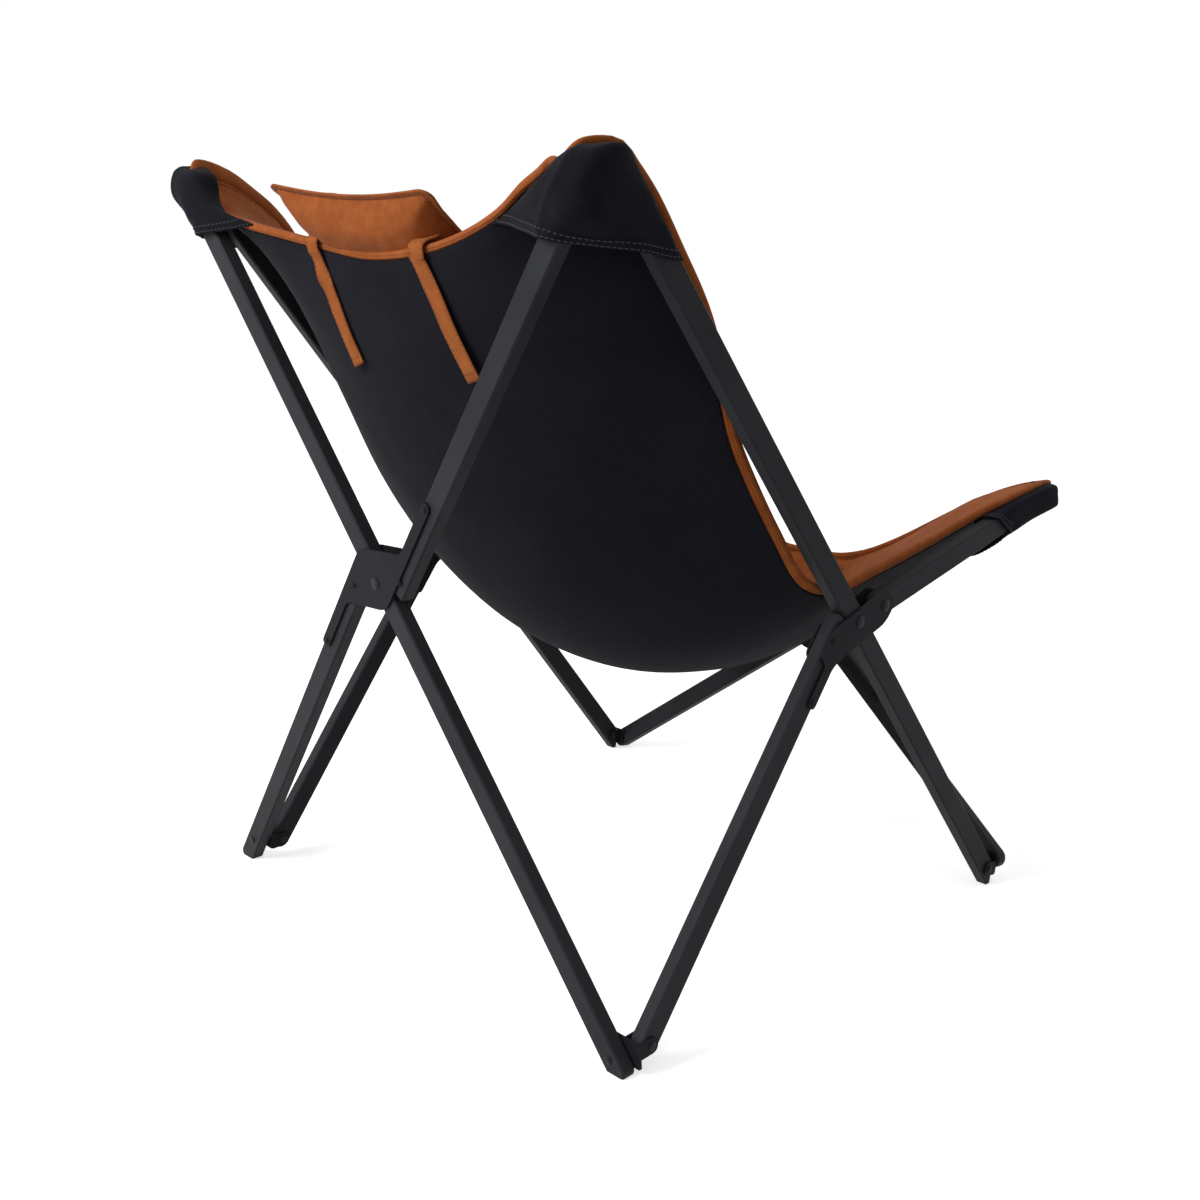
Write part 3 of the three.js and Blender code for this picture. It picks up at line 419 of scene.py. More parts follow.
def stitches(name, path, outward, material, half=STITCH_HALF):
    """Short thread dashes along a path of points with outward directions."""
    path = np.asarray(path, float)
    along = run_along(path)
    points = []
    faces = []
    for start in np.arange(STITCH_GAP, along[-1] - STITCH_DASH, STITCH_DASH + STITCH_GAP):
        places = []
        for s in (start, start + STITCH_DASH / 2, start + STITCH_DASH):
            p = np.array([np.interp(s, along, path[:, k]) for k in range(3)])
            n = np.array([np.interp(s, along, outward[:, k]) for k in range(3)])
            places.append((p, unit(n)))
        forward = unit(places[2][0] - places[0][0])
        first = len(points)
        for k, (p, n) in enumerate(places):
            side = unit(np.cross(forward, n)) * half
            rise = n * (STITCH_LIFT + (half if k == 1 else STITCH_END))
            points += [p - side - n * half, p + side - n * half, p + side + rise, p - side + rise]
        for k in (0, 4):
            for m in range(4):
                q = (m + 1) % 4
                faces.append((first + k + m, first + k + q, first + k + 4 + q, first + k + 4 + m))
        faces.append((first, first + 3, first + 2, first + 1))
        faces.append((first + 8, first + 9, first + 10, first + 11))
    return piece(name, points, faces, material)


def bumps(points, size_mm, seed):
    """Smooth noise at each point, about -1 to 1."""
    shape = points.shape[:-1]
    flat = points.reshape(-1, 3) / size_mm
    values = [noise.noise(Vector((p[0] + seed, p[1], p[2]))) for p in flat]
    return np.array(values).reshape(shape)


def hang(obj, body="back_top_right"):
    """Soft pieces ride a corner of the frame; those at the back tops get a copy of their mesh of their own.
    """
    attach(obj, body)
    if body.startswith("back_top"):
        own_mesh(obj)
    return obj


# Frame: the model's own nodes in their finishes, with edges kept sharp where faces turn by more than this
SHARP_TURN = math.radians(35)
for name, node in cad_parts.items():
    if name.startswith(("sling", "cover", "head_pillow", "strap", "pocket")):
        continue
    finish, slot_name = STEEL, "frame"
    if "plate" in name or name.startswith("clevis"):
        finish, slot_name = PLATE, "plates"
    if "pin" in name or "rivet" in name:
        finish, slot_name = PIN, "pins"
    node.data.materials.clear()
    node.data.materials.append(finish)
    node.data.polygons.foreach_set("use_smooth", [True] * len(node.data.polygons))
    node.data.set_sharp_from_angle(angle=SHARP_TURN)

# Outline of the cover on the form: half width, ends, corner radius and the rolled edge band, along the cloth
COVER_HALF = 338.0
COVER_START = -8.0
COVER_END = FORM_LENGTH + 6.0
COVER_CORNER = 22.0
BAND = 10.0
BAND_MIDDLE = BAND / 2


def outline_grid(inset, near, spacing):
    """Cloth coordinates (across, along) and edge distance on a rounded outline, dense near its edge."""
    half = COVER_HALF - inset
    start = COVER_START + inset
    end = COVER_END - inset
    corner = COVER_CORNER - inset
    inner = np.arange(near[-1] + spacing, half, spacing)[:-1]
    side = np.concatenate((near, inner))
    share = 1 - side / half
    columns = np.concatenate((-share, [0.0], share[::-1]))
    middle = np.linspace(start + near[-1], end - near[-1], int((end - start) / spacing))
    lines = np.concatenate((start + near[:-1], middle, end - near[:-1][::-1]))
    reach = np.minimum(lines - start, end - lines)
    shortfall = np.maximum(corner - reach, 0)
    width = half - corner + np.sqrt(np.maximum(corner**2 - shortfall**2, 0))
    u = columns[None, :] * width[:, None]
    v = np.repeat(lines[:, None], len(columns), axis=1)
    over = np.abs(u) - (half - corner)
    straight = np.minimum(half - np.abs(u), reach[:, None])
    rounded = corner - np.hypot(np.maximum(over, 0), shortfall[:, None])
    distance = np.where((over > 0) & (shortfall[:, None] > 0), rounded, straight)
    return u, v, np.maximum(distance, 0)


# Canvas sling: it ends just under the cover's band, and its two faces lie behind the form
SLING_INSET = BAND - 0.8
SLING_NEAR = np.array((0, 1.5, 4, 8, 14, 22.0))
SLING_SPACING = 16
SLING_FACE = 0.5
SLING_BACK = 1.9
SLING_SAG, SLING_SAG_SIZE, SLING_SAG_REACH = 0.8, 95, 60


def make_sling():
    u, v, depth = outline_grid(SLING_INSET, SLING_NEAR, SLING_SPACING)
    a, b = u / FORM_HALF, v / FORM_LENGTH
    base = form(a, b)
    normal = form_normal(a, b)
    sag = SLING_SAG * bumps(base, SLING_SAG_SIZE, seed=3.0) * smoothstep(depth, 0, SLING_SAG_REACH)
    front, back = (base + normal * (sag - level)[..., None] for level in (SLING_FACE, SLING_BACK))
    return shell("canvas_sling", front, back, CANVAS, np.stack((u, v), -1))


sling = make_sling()
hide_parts("sling")
hang(sling)

# Padded cover: rolled edge band, a stitched groove inside it, a full face and two front channels
COVER_NEAR = np.array((
    0, 0.3, 0.8, 1.6, 2.6, 3.6, 4.3, 5, 5.7, 6.4, 7.4, 8.4, 9.2, 9.7, 10,
    10.4, 11, 12, 14, 17, 21, 26, 32, 40, 50.0,
))
COVER_SPACING = 13
COVER_LIFT = 3.5
ROLL_TOP = 5
ROLL_UNDER = 5.6
BAND_SEAM, BAND_SEAM_WIDTH = 0.8, 0.8

# Height and reach of the quick rise beside the groove and of the padding behind it
GROOVE_LIP, GROOVE_REACH = 1.5, 2
PADDING, PADDING_REACH = 13, 26
LEAST_PADDING = 1.2
LEAST_THICKNESS = 0.3

# Underside inside the band: how far it drops to the sling, and its lowest level
UNDER_DROP = 2.6
UNDER_LEVEL = 0.9

# Thinner padding at the front tips and in the lobes at the back corners, and the flatter band there
TIP_ACROSS, TIP_ALONG = (220, 320), (0.8, 0.97)
LOBE_ACROSS, LOBE_ALONG = (230, 330), (0.02, 0.12)
TIP_THINNER, LOBE_THINNER = 0.8, 0.5
TIP_FLATTER, LOBE_FLATTER = 0.25, 0.2

# Two sewn channels on the front half, and the dip at the seat's bend
CHANNEL_ALONG = (0.6, 0.8)
CHANNEL_AT, CHANNEL_WIDTH, CHANNEL_DEPTH = 68, 9, 11
BEND_AT, BEND_WIDTH, BEND_DEPTH = 0.46, 0.02, 5

# Puckers along the edge seam and the channels: height, wavelength and reach
EDGE_PUCKER, EDGE_PUCKER_WAVE, EDGE_PUCKER_REACH, EDGE_PUCKER_RISE = 0.7, 3.4, 9, 3
CHANNEL_PUCKER, CHANNEL_PUCKER_WAVE, CHANNEL_PUCKER_WIDTH = 0.6, 3.1, 16

# Creases: height and size of the broad and fine ones, and cloth bunched up at the bend beside the side bars
BROAD_CREASE, BROAD_CREASE_SIZE = 1.5, 46
FINE_CREASE, FINE_CREASE_SIZE = 0.7, 17
BUNCH_AT, BUNCH_WIDTH, BUNCH_ACROSS = 0.5, 0.05, (140, 260)
BUNCH_CREASE, BUNCH_WAVE, BUNCH_WANDER, BUNCH_WANDER_SIZE = 2.6, 6.5, 2, 60
CREASE_RISE = 14


def cover_creases(base, u, v, b):
    bunch = bell(b, BUNCH_AT, BUNCH_WIDTH) * smoothstep(np.abs(u), *BUNCH_ACROSS)
    broad = BROAD_CREASE * bumps(base, BROAD_CREASE_SIZE, seed=7.0)
    fine = FINE_CREASE * bumps(base, FINE_CREASE_SIZE, seed=11.0)
    wander = BUNCH_WANDER * bumps(base, BUNCH_WANDER_SIZE, seed=2.0)
    return broad + fine + BUNCH_CREASE * bunch * np.sin(v / BUNCH_WAVE + wander)


def make_cover():
    u, v, depth = outline_grid(0, COVER_NEAR, COVER_SPACING)
    a, b = u / FORM_HALF, v / FORM_LENGTH
    base = form(a, b)
    normal = form_normal(a, b)
    out = np.abs(u)
    inside = np.maximum(depth - BAND, 0)
    tips = smoothstep(out, *TIP_ACROSS) * smoothstep(b, *TIP_ALONG)
    lobes = smoothstep(out, *LOBE_ACROSS) * (1 - smoothstep(b, *LOBE_ALONG))
    roll = np.sqrt(np.maximum(1 - ((depth - BAND_MIDDLE) / BAND_MIDDLE) ** 2, 0)) * (depth < BAND)
    roll = roll * (1 - TIP_FLATTER * tips - LOBE_FLATTER * lobes)
    lip = GROOVE_LIP * (1 - np.exp(-inside / GROOVE_REACH))
    swell = lip + PADDING * (1 - np.exp(-inside / PADDING_REACH))
    swell = swell * (1 - TIP_THINNER * tips - LOBE_THINNER * lobes)
    front_share = smoothstep(b, *CHANNEL_ALONG)
    channel = bell(out, CHANNEL_AT, CHANNEL_WIDTH) * front_share * CHANNEL_DEPTH
    bend = BEND_DEPTH * bell(b, BEND_AT, BEND_WIDTH)
    pucker = np.sin((u + v) / EDGE_PUCKER_WAVE) * np.exp(-inside / EDGE_PUCKER_REACH)
    pucker = pucker * np.minimum(inside / EDGE_PUCKER_RISE, 1) * EDGE_PUCKER
    gather = np.sin(v / CHANNEL_PUCKER_WAVE) * bell(out, CHANNEL_AT, CHANNEL_PUCKER_WIDTH)
    pucker = pucker + gather * front_share * CHANNEL_PUCKER
    crease = cover_creases(base, u, v, b) * np.minimum(inside / CREASE_RISE, 1)
    pad = np.maximum(swell - channel - bend, LEAST_PADDING * (inside > 0))
    top = COVER_LIFT + ROLL_TOP * roll + pad + pucker + crease
    rolled = COVER_LIFT - ROLL_UNDER * roll + BAND_SEAM * bell(depth, BAND_MIDDLE, BAND_SEAM_WIDTH)
    level = np.maximum(COVER_LIFT - UNDER_DROP * np.minimum(inside, 1), UNDER_LEVEL)
    under = np.minimum(np.where(depth <= BAND, rolled, level), top - LEAST_THICKNESS)
    front, back = (base + normal * height[..., None] for height in (top, under))
    return shell("padded_cover", front, back, SUEDE, np.stack((u, v), -1))


cover = make_cover()
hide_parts("cover")
hang(cover)

# Topstitch just inside the band: its distance from the edge and its height over the form
TOPSTITCH_IN = 12.5
TOPSTITCH_UP = 5.6
EDGE_STEP = 4.0
CORNER_POINTS = 14


def cover_edge_path(distance, offset):
    """Points and directions round the cover at one distance from its edge."""
    half = COVER_HALF - distance
    start = COVER_START + distance
    end = COVER_END - distance
    corner = COVER_CORNER - distance
    turn = np.linspace(0, math.pi / 2, CORNER_POINTS)
    outline = []
    for centre_u, centre_v, first in (
        (half - corner, start + corner, -0.5), (half - corner, end - corner, 0.0),
        (-half + corner, end - corner, 0.5), (-half + corner, start + corner, 1.0),
    ):
        angle = turn + first * math.pi
        arc = np.stack((centre_u + corner * np.cos(angle), centre_v + corner * np.sin(angle)), -1)
        outline.append(arc)
    outline = np.concatenate(outline + [outline[0][:1]])
    along = run_along(outline)
    fine = np.arange(0, along[-1], EDGE_STEP)
    a = np.interp(fine, along, outline[:, 0]) / FORM_HALF
    b = np.interp(fine, along, outline[:, 1]) / FORM_LENGTH
    normal = form_normal(a, b)
    return form(a, b) + normal * offset, normal


path, outward = cover_edge_path(TOPSTITCH_IN, TOPSTITCH_UP)
hang(stitches("cover_topstitch", path, outward, BROWN_THREAD))

# Corner pockets, drawn for the +X side: rows from the hem up toward the cover's edge
FRONT_OF_BAR = [
    [(361, 259, 800), (360.3, 234, 797), (350, 227, 796), (339, 219, 796)],
    [(362, 272, 829), (361, 253, 823), (350, 245, 818), (339, 231, 807)],
    [(363.5, 290, 861), (361, 273, 852), (350, 257, 837), (340, 239, 814)],
    [(355, 287, 878), (350, 271, 862), (344, 252, 839), (340, 235, 814)],
    [(343, 287, 880), (340, 271, 865), (337, 254, 844), (335, 238, 818)],
    [(336, 285, 879), (334, 271, 865), (332, 257, 847), (331, 241, 823)],
]
REAR_RIGHT = [
    [(222, 330, 829), (252, 340, 826), (285, 351, 821), (308, 357, 817), (320, 355, 814.5), (333, 336, 812),
     (346, 312, 809), (357, 292, 806), (361, 280, 804)],
    [(221, 330, 830), (250, 339, 834), (284, 351, 837), (318, 359, 840), (339, 360, 839), (355, 351, 838),
     (363.5, 335, 836), (364, 312, 834), (363, 294, 832)],
    [(219, 330, 830), (247, 338, 840), (281, 349, 852), (316, 359.5, 866), (339, 361, 866), (358, 356, 863),
     (365, 339, 861), (366, 318, 861), (365, 304, 861)],
    [(216, 331, 829), (244, 337, 838), (276, 345, 850), (307, 352, 865), (327, 354, 879), (345, 351, 884),
     (358, 337, 888), (361, 318, 892), (360, 303, 891)],
    [(215, 330, 829), (242, 335, 837), (272, 342, 850), (300, 346, 866), (319, 347, 881), (336, 343, 888.5),
     (349, 331, 890.5), (352, 315, 893), (351, 301, 891.5)],
    [(211, 329, 828), (238, 332, 838), (266, 336, 850), (292, 340, 864), (312, 341, 879), (326, 337, 888.5),
     (337, 325, 891), (341, 308, 893), (340, 293, 888)],
]
REAR_LEFT = [
    [(215, 330, 828), (240, 342, 823), (262, 353, 820), (284, 357, 818), (293, 355, 817.5), (310, 335, 815),
     (330, 315, 812), (348, 298, 808), (359, 285, 806)],
    [(214, 330, 829), (240, 341, 832), (268, 352, 836), (296, 359, 839), (309, 357.5, 839), (325, 343, 838),
     (343, 329, 837), (357, 313, 835), (362.5, 300, 833)],
    [(213, 330, 830), (240, 339, 838), (272, 350, 850), (302, 360, 866), (318, 361, 867), (337, 356, 865),
     (356, 347, 862), (365.5, 335, 861), (367, 312, 861)],
    [(211, 331, 829), (238, 337, 837), (268, 346, 850), (298, 357, 874), (316, 357, 882), (337, 352, 887),
     (354, 340, 891), (361, 322, 893.5), (360, 303, 892)],
    [(210, 329, 826), (236, 332, 833), (263, 340, 846), (292, 350, 877), (300, 346, 887), (321, 342, 890.5),
     (342, 328, 893.5), (347, 314, 894.5), (346, 300, 893)],
    [(209, 327, 823), (235, 329, 829), (260, 331, 838), (282, 329, 855), (294, 325.5, 880), (311, 325, 890.5),
     (331, 318, 893.5), (337, 306, 893.5), (337, 292, 885)],
]

# Seam that joins a back pocket to the canvas just inside the cover's band, as places on the form
SEWN_ACROSS = np.array((0.64, 0.72, 0.8, 0.875, 0.915, 0.97, 0.995, 1.0, 0.995, 0.99, 0.99, 0.99, 0.99))
SEWN_ALONG = np.array((0.002, 0.002, 0.002, 0.001, 0, 0.004, 0.017, 0.034, 0.052, 0.07, 0.087, 0.104, 0.118))
SEWN_BEHIND = 1.8


def back_pocket(rear, hand):
    """Control rows of a back pocket, the last one sewn to the canvas."""
    across = hand * SEWN_ACROSS
    sewn = form(across, SEWN_ALONG) - form_normal(across, SEWN_ALONG) * SEWN_BEHIND
    rows = [list(behind) + list(ahead) for behind, ahead in zip(rear, FRONT_OF_BAR)]
    return rows + [sewn * np.array((hand, 1, 1))]


# Mesh of a pocket: rows and columns, and how much closer the rows lie at the hem
POCKET_ROWS, POCKET_COLS, POCKET_CROWD = 44, 90, 0.35


def dense(control):
    """A grid of points through a net of control rows, closer together near the first row."""
    across = np.array([Line(line).at(np.linspace(0, 1, POCKET_COLS)) for line in control])
    share = np.linspace(0, 1, POCKET_ROWS)
    share = share + POCKET_CROWD * (share**2 - share)
    return np.stack([Line(across[:, i]).at(share) for i in range(POCKET_COLS)], 1)


def level_line(grid, height, level):
    """Points where each column of a grid reaches a height above the hem."""
    rows, cols = height.shape
    share = np.array([np.interp(level, height[:, i], np.arange(rows)) for i in range(cols)])
    low = share.astype(int)
    part = (share - low)[:, None]
    pick = np.arange(cols)
    return grid[low, pick] * (1 - part) + grid[np.minimum(low + 1, rows - 1), pick] * part


# Pocket cloth: its two faces, its soft folds, and a turned hem with a groove above it and two stitch rows
POCKET_OUT = 0.7
POCKET_IN = 0.6
POCKET_FOLD, POCKET_FOLD_SIZE = 1.2, 42
FOLD_FROM, FOLD_TO = (12, 34), (2, 16)
HEM_THICK, HEM_EDGE = 0.9, (10.0, 11.2)
HEM_GROOVE, HEM_GROOVE_AT, HEM_GROOVE_WIDTH = 0.5, 11.4, 0.9
HEM_STITCHES = (2.2, 8.6)


def pocket(name, control, hand, node, body, ridge=None):
    """A canvas pocket with a turned hem along its first row."""
    grid = dense(control)
    outward = -grid_normals(grid)
    centre = grid.reshape(-1, 3).mean(0)
    if np.sum((grid - centre) * outward) < 0:
        outward = -outward
    height = run_along(grid, 0)
    length = run_along(grid, 1)
    folds = POCKET_FOLD * bumps(grid, POCKET_FOLD_SIZE, seed=5.0 + hand)
    folds = folds * smoothstep(height, *FOLD_FROM) * smoothstep(height[-1:] - height, *FOLD_TO)
    hem = HEM_THICK * (1 - smoothstep(height, *HEM_EDGE))
    hem = hem - HEM_GROOVE * bell(height, HEM_GROOVE_AT, HEM_GROOVE_WIDTH)
    lift = folds + hem
    if ridge:
        lift = lift + ridge(grid, height)
    flip = np.array((hand, 1, 1))
    outer = (grid + outward * (lift + POCKET_OUT)[..., None]) * flip
    inner = (grid + outward * (np.minimum(lift, folds) - POCKET_IN)[..., None]) * flip
    away = outward[0] * flip
    front, back = outer, inner
    if not winds_toward(front, away[0]):
        front, back = front[:, ::-1], back[:, ::-1]
    obj = shell(name, front, back, CANVAS, np.stack((length, height), -1))
    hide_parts(node)
    hang(obj, body)
    for k, level in enumerate(HEM_STITCHES):
        line = level_line(outer, height, level)
        thread = stitches(f"{name}_hem_stitch_{k + 1}", line, away, BLACK_THREAD)
        hang(thread, body)


# Seam ridge on the rear panel: where it starts, how far it leans over its climb, its height and half width
RIDGE_FOOT, RIDGE_LEAN, RIDGE_CLIMB = 309, 32, 75
RIDGE_HEIGHT, RIDGE_WIDTH = 2.2, 5
RIDGE_BEHIND = (318, 340)


def corner_ridge(grid, height):
    """Soft seam ridge that climbs the rear panel to the peak."""
    line = RIDGE_FOOT + RIDGE_LEAN * smoothstep(height, 0, RIDGE_CLIMB)
    rear = smoothstep(grid[..., 1], *RIDGE_BEHIND)
    return RIDGE_HEIGHT * bell(grid[..., 0], line, RIDGE_WIDTH) * rear


# Front pockets: sleeves over the rail ends, as loops round the rail from the mouth to the closed tip
RAIL_TIP = np.array((350.0, -425.8, 501.1))
RAIL_ALONG = np.array((0, -0.972, 0.235))
RAIL_UP = np.array((0, 0.235, 0.972))

# Points of a loop: shares of the half width and half height, and where the slanted mouth lies along the rail
LOOP = [
    (-1, -0.1, -128), (-0.97, 0.88, -122), (-0.6, 1.03, -114), (0.6, 1.03, -112), (0.97, 0.88, -108),
    (1.04, 0, -97), (0.97, -0.9, -86), (0.6, -1.18, -112), (-0.4, -1.3, -150), (-0.95, -1, -152),
    (-1, -0.1, -140),
]

# Stations along the rail: reach past its pin (none at the mouth), inward shift, half width, half height, drop
STATIONS = [
    (None, 0, 10.6, 14.9, 0), (-70, 0, 11.2, 14.8, 0), (-30, 0, 13.2, 14.8, 0), (-8, 0, 15.2, 14.8, 0.5),
    (12, 0.3, 15.4, 14, 3), (23, 2.2, 15, 13.6, 5.5), (30, 11, 14.4, 13.2, 9), (38, 19.5, 13.4, 13.4, 13),
    (49, 25, 12, 13.5, 15.5), (52.2, 26, 9.5, 11.5, 16), (52.8, 26, 1, 1.5, 16),
]


def sleeve():
    rows = []
    for reach, inward, wide, tall, drop in STATIONS:
        points = []
        for x, q, mouth in LOOP:
            along = RAIL_ALONG * (mouth if reach is None else reach)
            points.append(RAIL_TIP + (x * wide - inward, 0, -drop) + along + RAIL_UP * (q * tall))
        rows.append(points)
    return rows


# Pockets on both sides: back pockets at the back top corners and sleeves over the front rail ends
for side, rear, hand in (("right", REAR_RIGHT, -1), ("left", REAR_LEFT, 1)):
    pocket(
        f"back_pocket_{side}", back_pocket(rear, hand), hand, f"pocket_back_{side}", f"back_top_{side}",
        corner_ridge,
    )
for side, rail, hand in (("right", "rail_r", -1), ("left", "rail_l", 1)):
    pocket(
        f"front_pocket_{side}", sleeve(), hand, f"pocket_front_{side}", rail,
    )

# Head pillow: two bowed faces with a narrow stitched flange, flared tips and a hollow top edge
PILLOW_CENTRE = np.array((10.0, 302.0, 825.5))
PILLOW_UP = np.array((0.0, 0.77, 0.638))
PILLOW_OUT = np.array((0.0, 0.638, -0.77))
PILLOW_HALF = (129.0, 59.0)
PILLOW_CORNER = 16.0
FLANGE = 6.0

# Mesh lines: distances in from each edge, then even ones, and the line that carries the flange's stitches
PILLOW_NEAR = np.array((0, 1.2, 2.6, 4, 5, 5.6, 6, 6.4, 7, 8, 10, 13, 17, 22, 28.0))
PILLOW_EVEN = 34
PILLOW_COLS, PILLOW_ROWS = 34, 14
FLANGE_LINE = 4

# Filling: its height, the powers that shape it and its reach in from the flange; the front face is flatter
FILL_HEIGHT, FILL_ACROSS, FILL_UP, FILL_POWER, FILL_REACH = 30, 3.2, 2.6, 0.55, 9
FACE_SHARES = ((1, 1.0), (-1, 0.7))
FLANGE_THICK, FLANGE_GROOVE, FLANGE_GROOVE_WIDTH = 1.3, 0.6, 0.7

# Outline: flared upper tips, waisted sides, hollow top and bottom, rise to the left and bow along its width
TIP_FLARE, TIP_FLARE_FROM = 0.05, 0.3
SIDE_WAIST = 0.03
TOP_HOLLOW, BOTTOM_HOLLOW = 9, 4
PILLOW_TILT = 8.5
PILLOW_BOW = 5

# Puckers along the flange, and creases over the filling with their height, size and seed
PILLOW_PUCKER, PILLOW_PUCKER_WAVE, PILLOW_PUCKER_SLANT = 0.9, 2.6, 1.3
PILLOW_PUCKER_REACH, PILLOW_PUCKER_RISE = 8, 3
PILLOW_CREASES = ((2.0, 38, 21.0), (0.9, 15, 25.0))
PILLOW_CREASE_RISE = 16


def pillow_lines(half, count):
    even = np.linspace(-half + PILLOW_EVEN, half - PILLOW_EVEN, count)
    return np.concatenate((-half + PILLOW_NEAR, even, half - PILLOW_NEAR[::-1]))


def rounded_corners(across, up):
    """Draws the corners of a rectangular grid in to arcs."""
    half_u, half_v = PILLOW_HALF
    over_u = np.abs(across) - (half_u - PILLOW_CORNER)
    over_v = np.abs(up) - (half_v - PILLOW_CORNER)
    both = (over_u > 0) & (over_v > 0)
    length = np.hypot(np.maximum(over_u, 0), np.maximum(over_v, 0))
    widest = np.maximum(np.maximum(over_u, over_v), TINY)
    squeeze = np.where(both, widest / np.maximum(length, TINY), 1.0)
    across = np.where(both, np.sign(across) * (half_u - PILLOW_CORNER + over_u * squeeze), across)
    up = np.where(both, np.sign(up) * (half_v - PILLOW_CORNER + over_v * squeeze), up)
    return across, up


def pillow_middle(across, up, s, t):
    """Surface halfway between the pillow's two faces."""
    flare = 1 + TIP_FLARE * smoothstep(t, TIP_FLARE_FROM, 1) * np.abs(s) ** 4
    flare = flare - SIDE_WAIST * (1 - t * t) * np.abs(s) ** 3
    crown = 1 - s * s
    hollow = BOTTOM_HOLLOW * crown * smoothstep(-t, 0, 1) - TOP_HOLLOW * crown * smoothstep(t, 0, 1)
    middle = PILLOW_CENTRE + np.stack((across * flare, 0 * s, 0 * s), -1)
    rise = up + hollow + PILLOW_TILT * s
    return middle + rise[..., None] * PILLOW_UP - (PILLOW_BOW * s * s)[..., None] * PILLOW_OUT


def pillow():
    half_u, half_v = PILLOW_HALF
    cols = pillow_lines(half_u, PILLOW_COLS)
    rows = pillow_lines(half_v, PILLOW_ROWS)
    across, up = rounded_corners(*np.meshgrid(cols, rows))
    edge = np.minimum(half_u - np.abs(cols)[None, :], half_v - np.abs(rows)[:, None])
    inside = np.maximum(edge - FLANGE, 0)
    s, t = across / half_u, up / half_v
    crown = np.maximum(1 - np.abs(s) ** FILL_ACROSS, 0) * np.maximum(1 - np.abs(t) ** FILL_UP, 0)
    filling = FILL_HEIGHT * crown**FILL_POWER * (1 - np.exp(-inside / FILL_REACH))
    thick = FLANGE_THICK - FLANGE_GROOVE * bell(edge, FLANGE, FLANGE_GROOVE_WIDTH) + filling
    middle = pillow_middle(across, up, s, t)
    pucker = PILLOW_PUCKER * np.sin((across + PILLOW_PUCKER_SLANT * up) / PILLOW_PUCKER_WAVE)
    pucker = pucker * np.exp(-inside / PILLOW_PUCKER_REACH) * np.minimum(inside / PILLOW_PUCKER_RISE, 1)
    crease = sum(height * bumps(middle, size_mm, seed) for height, size_mm, seed in PILLOW_CREASES)
    relief = pucker + crease * np.minimum(inside / PILLOW_CREASE_RISE, 1)
    back, front = (
        middle + PILLOW_OUT * (way * (thick * share + relief))[..., None] for way, share in FACE_SHARES
    )
    obj = shell("head_pillow_soft", back, front, SUEDE, np.stack((across, up), -1))
    i = np.arange(FLANGE_LINE, len(cols) - FLANGE_LINE)
    j = np.arange(FLANGE_LINE, len(rows) - FLANGE_LINE)
    ring = np.concatenate((back[j[0], i], back[j, i[-1]], back[j[-1], i[::-1]], back[j[::-1], i[0]]))
    outward = np.tile(PILLOW_OUT, (len(ring), 1))
    return obj, stitches("pillow_flange_stitch", ring, outward, BROWN_THREAD)


cushion, cushion_stitch = pillow()
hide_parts("head_pillow")
hang(cushion)
hang(cushion_stitch)

# Pillow straps: over the top band and down the back of the canvas
STRAP_POINTS = 44
STRAP_FROM = 0.002
STRAP_OVER = ((0, -14, 19), (0, -6, 15.5), (0, 2, 13.5), (0, 7.5, 8.5))
STRAP_OVER_STEPS = 6

# Distance behind the form: at its closest, at the free end, and where it comes over the band
STRAP_AWAY, STRAP_END_AWAY = 4.6, 3.0
STRAP_TOP_AWAY, STRAP_TOP_REACH = 2.0, 0.06

# A kinked strap sways, stands off, twists about its middle and narrows at the twist
KINK_SWAY = 6
KINK_SLACK, KINK_SLACK_TO = 2.5, 0.45
KINK_TWIST, KINK_TWIST_AT, KINK_TWIST_WIDTH = 0.5, 0.5, 0.06
KINK_WIDER, KINK_EASE, KINK_EASE_ALONG = 0.12, 0.1, (0.2, 0.4)
KINK_WAIST, KINK_WAIST_AT, KINK_WAIST_WIDTH = 0.24, 0.45, 0.07

# Section: places across the half width, half thickness, thinner edges and the two sewn grooves
STRAP_PLACES = np.array((-1, -0.94, -0.82, -0.7, -0.35, 0, 0.35, 0.7, 0.82, 0.94, 1.0))
STRAP_THICK, STRAP_EDGE_THINNER, STRAP_EDGE_FROM = 0.9, 0.35, 0.97
STRAP_GROOVE, STRAP_GROOVE_AT, STRAP_GROOVE_WIDTH = 0.3, 0.82, 0.05
STRAP_WOBBLE, STRAP_WOBBLE_SIZE = 0.5, 22
STRAP_SEAMS = (2, 8)
STRAP_END_ROW = -4
STRAP_STITCH_HALF = 0.35


def strap_centre(start_x, end_x, reach, kink):
    """Middle line of a strap, from inside the band to its free end."""
    drop = np.linspace(0, 1, STRAP_POINTS)
    x = start_x + (end_x - start_x) * drop + KINK_SWAY * kink * np.sin(math.pi * drop)
    a = x / FORM_HALF
    b = STRAP_FROM + reach * drop
    slack = KINK_SLACK * kink * np.sin(math.pi * np.minimum(drop / KINK_SLACK_TO, 1)) ** 2
    away = STRAP_AWAY + STRAP_END_AWAY * drop**2 + STRAP_TOP_AWAY * np.exp(-drop / STRAP_TOP_REACH) + slack
    down = form(a, b) - form_normal(a, b) * away[:, None]
    top = form(np.array(start_x / FORM_HALF), np.array(0.0))
    over = smooth_line([top + step for step in STRAP_OVER] + [down[0]], STRAP_OVER_STEPS)
    over[:, 0] = start_x
    return np.concatenate((over[:-1], down))


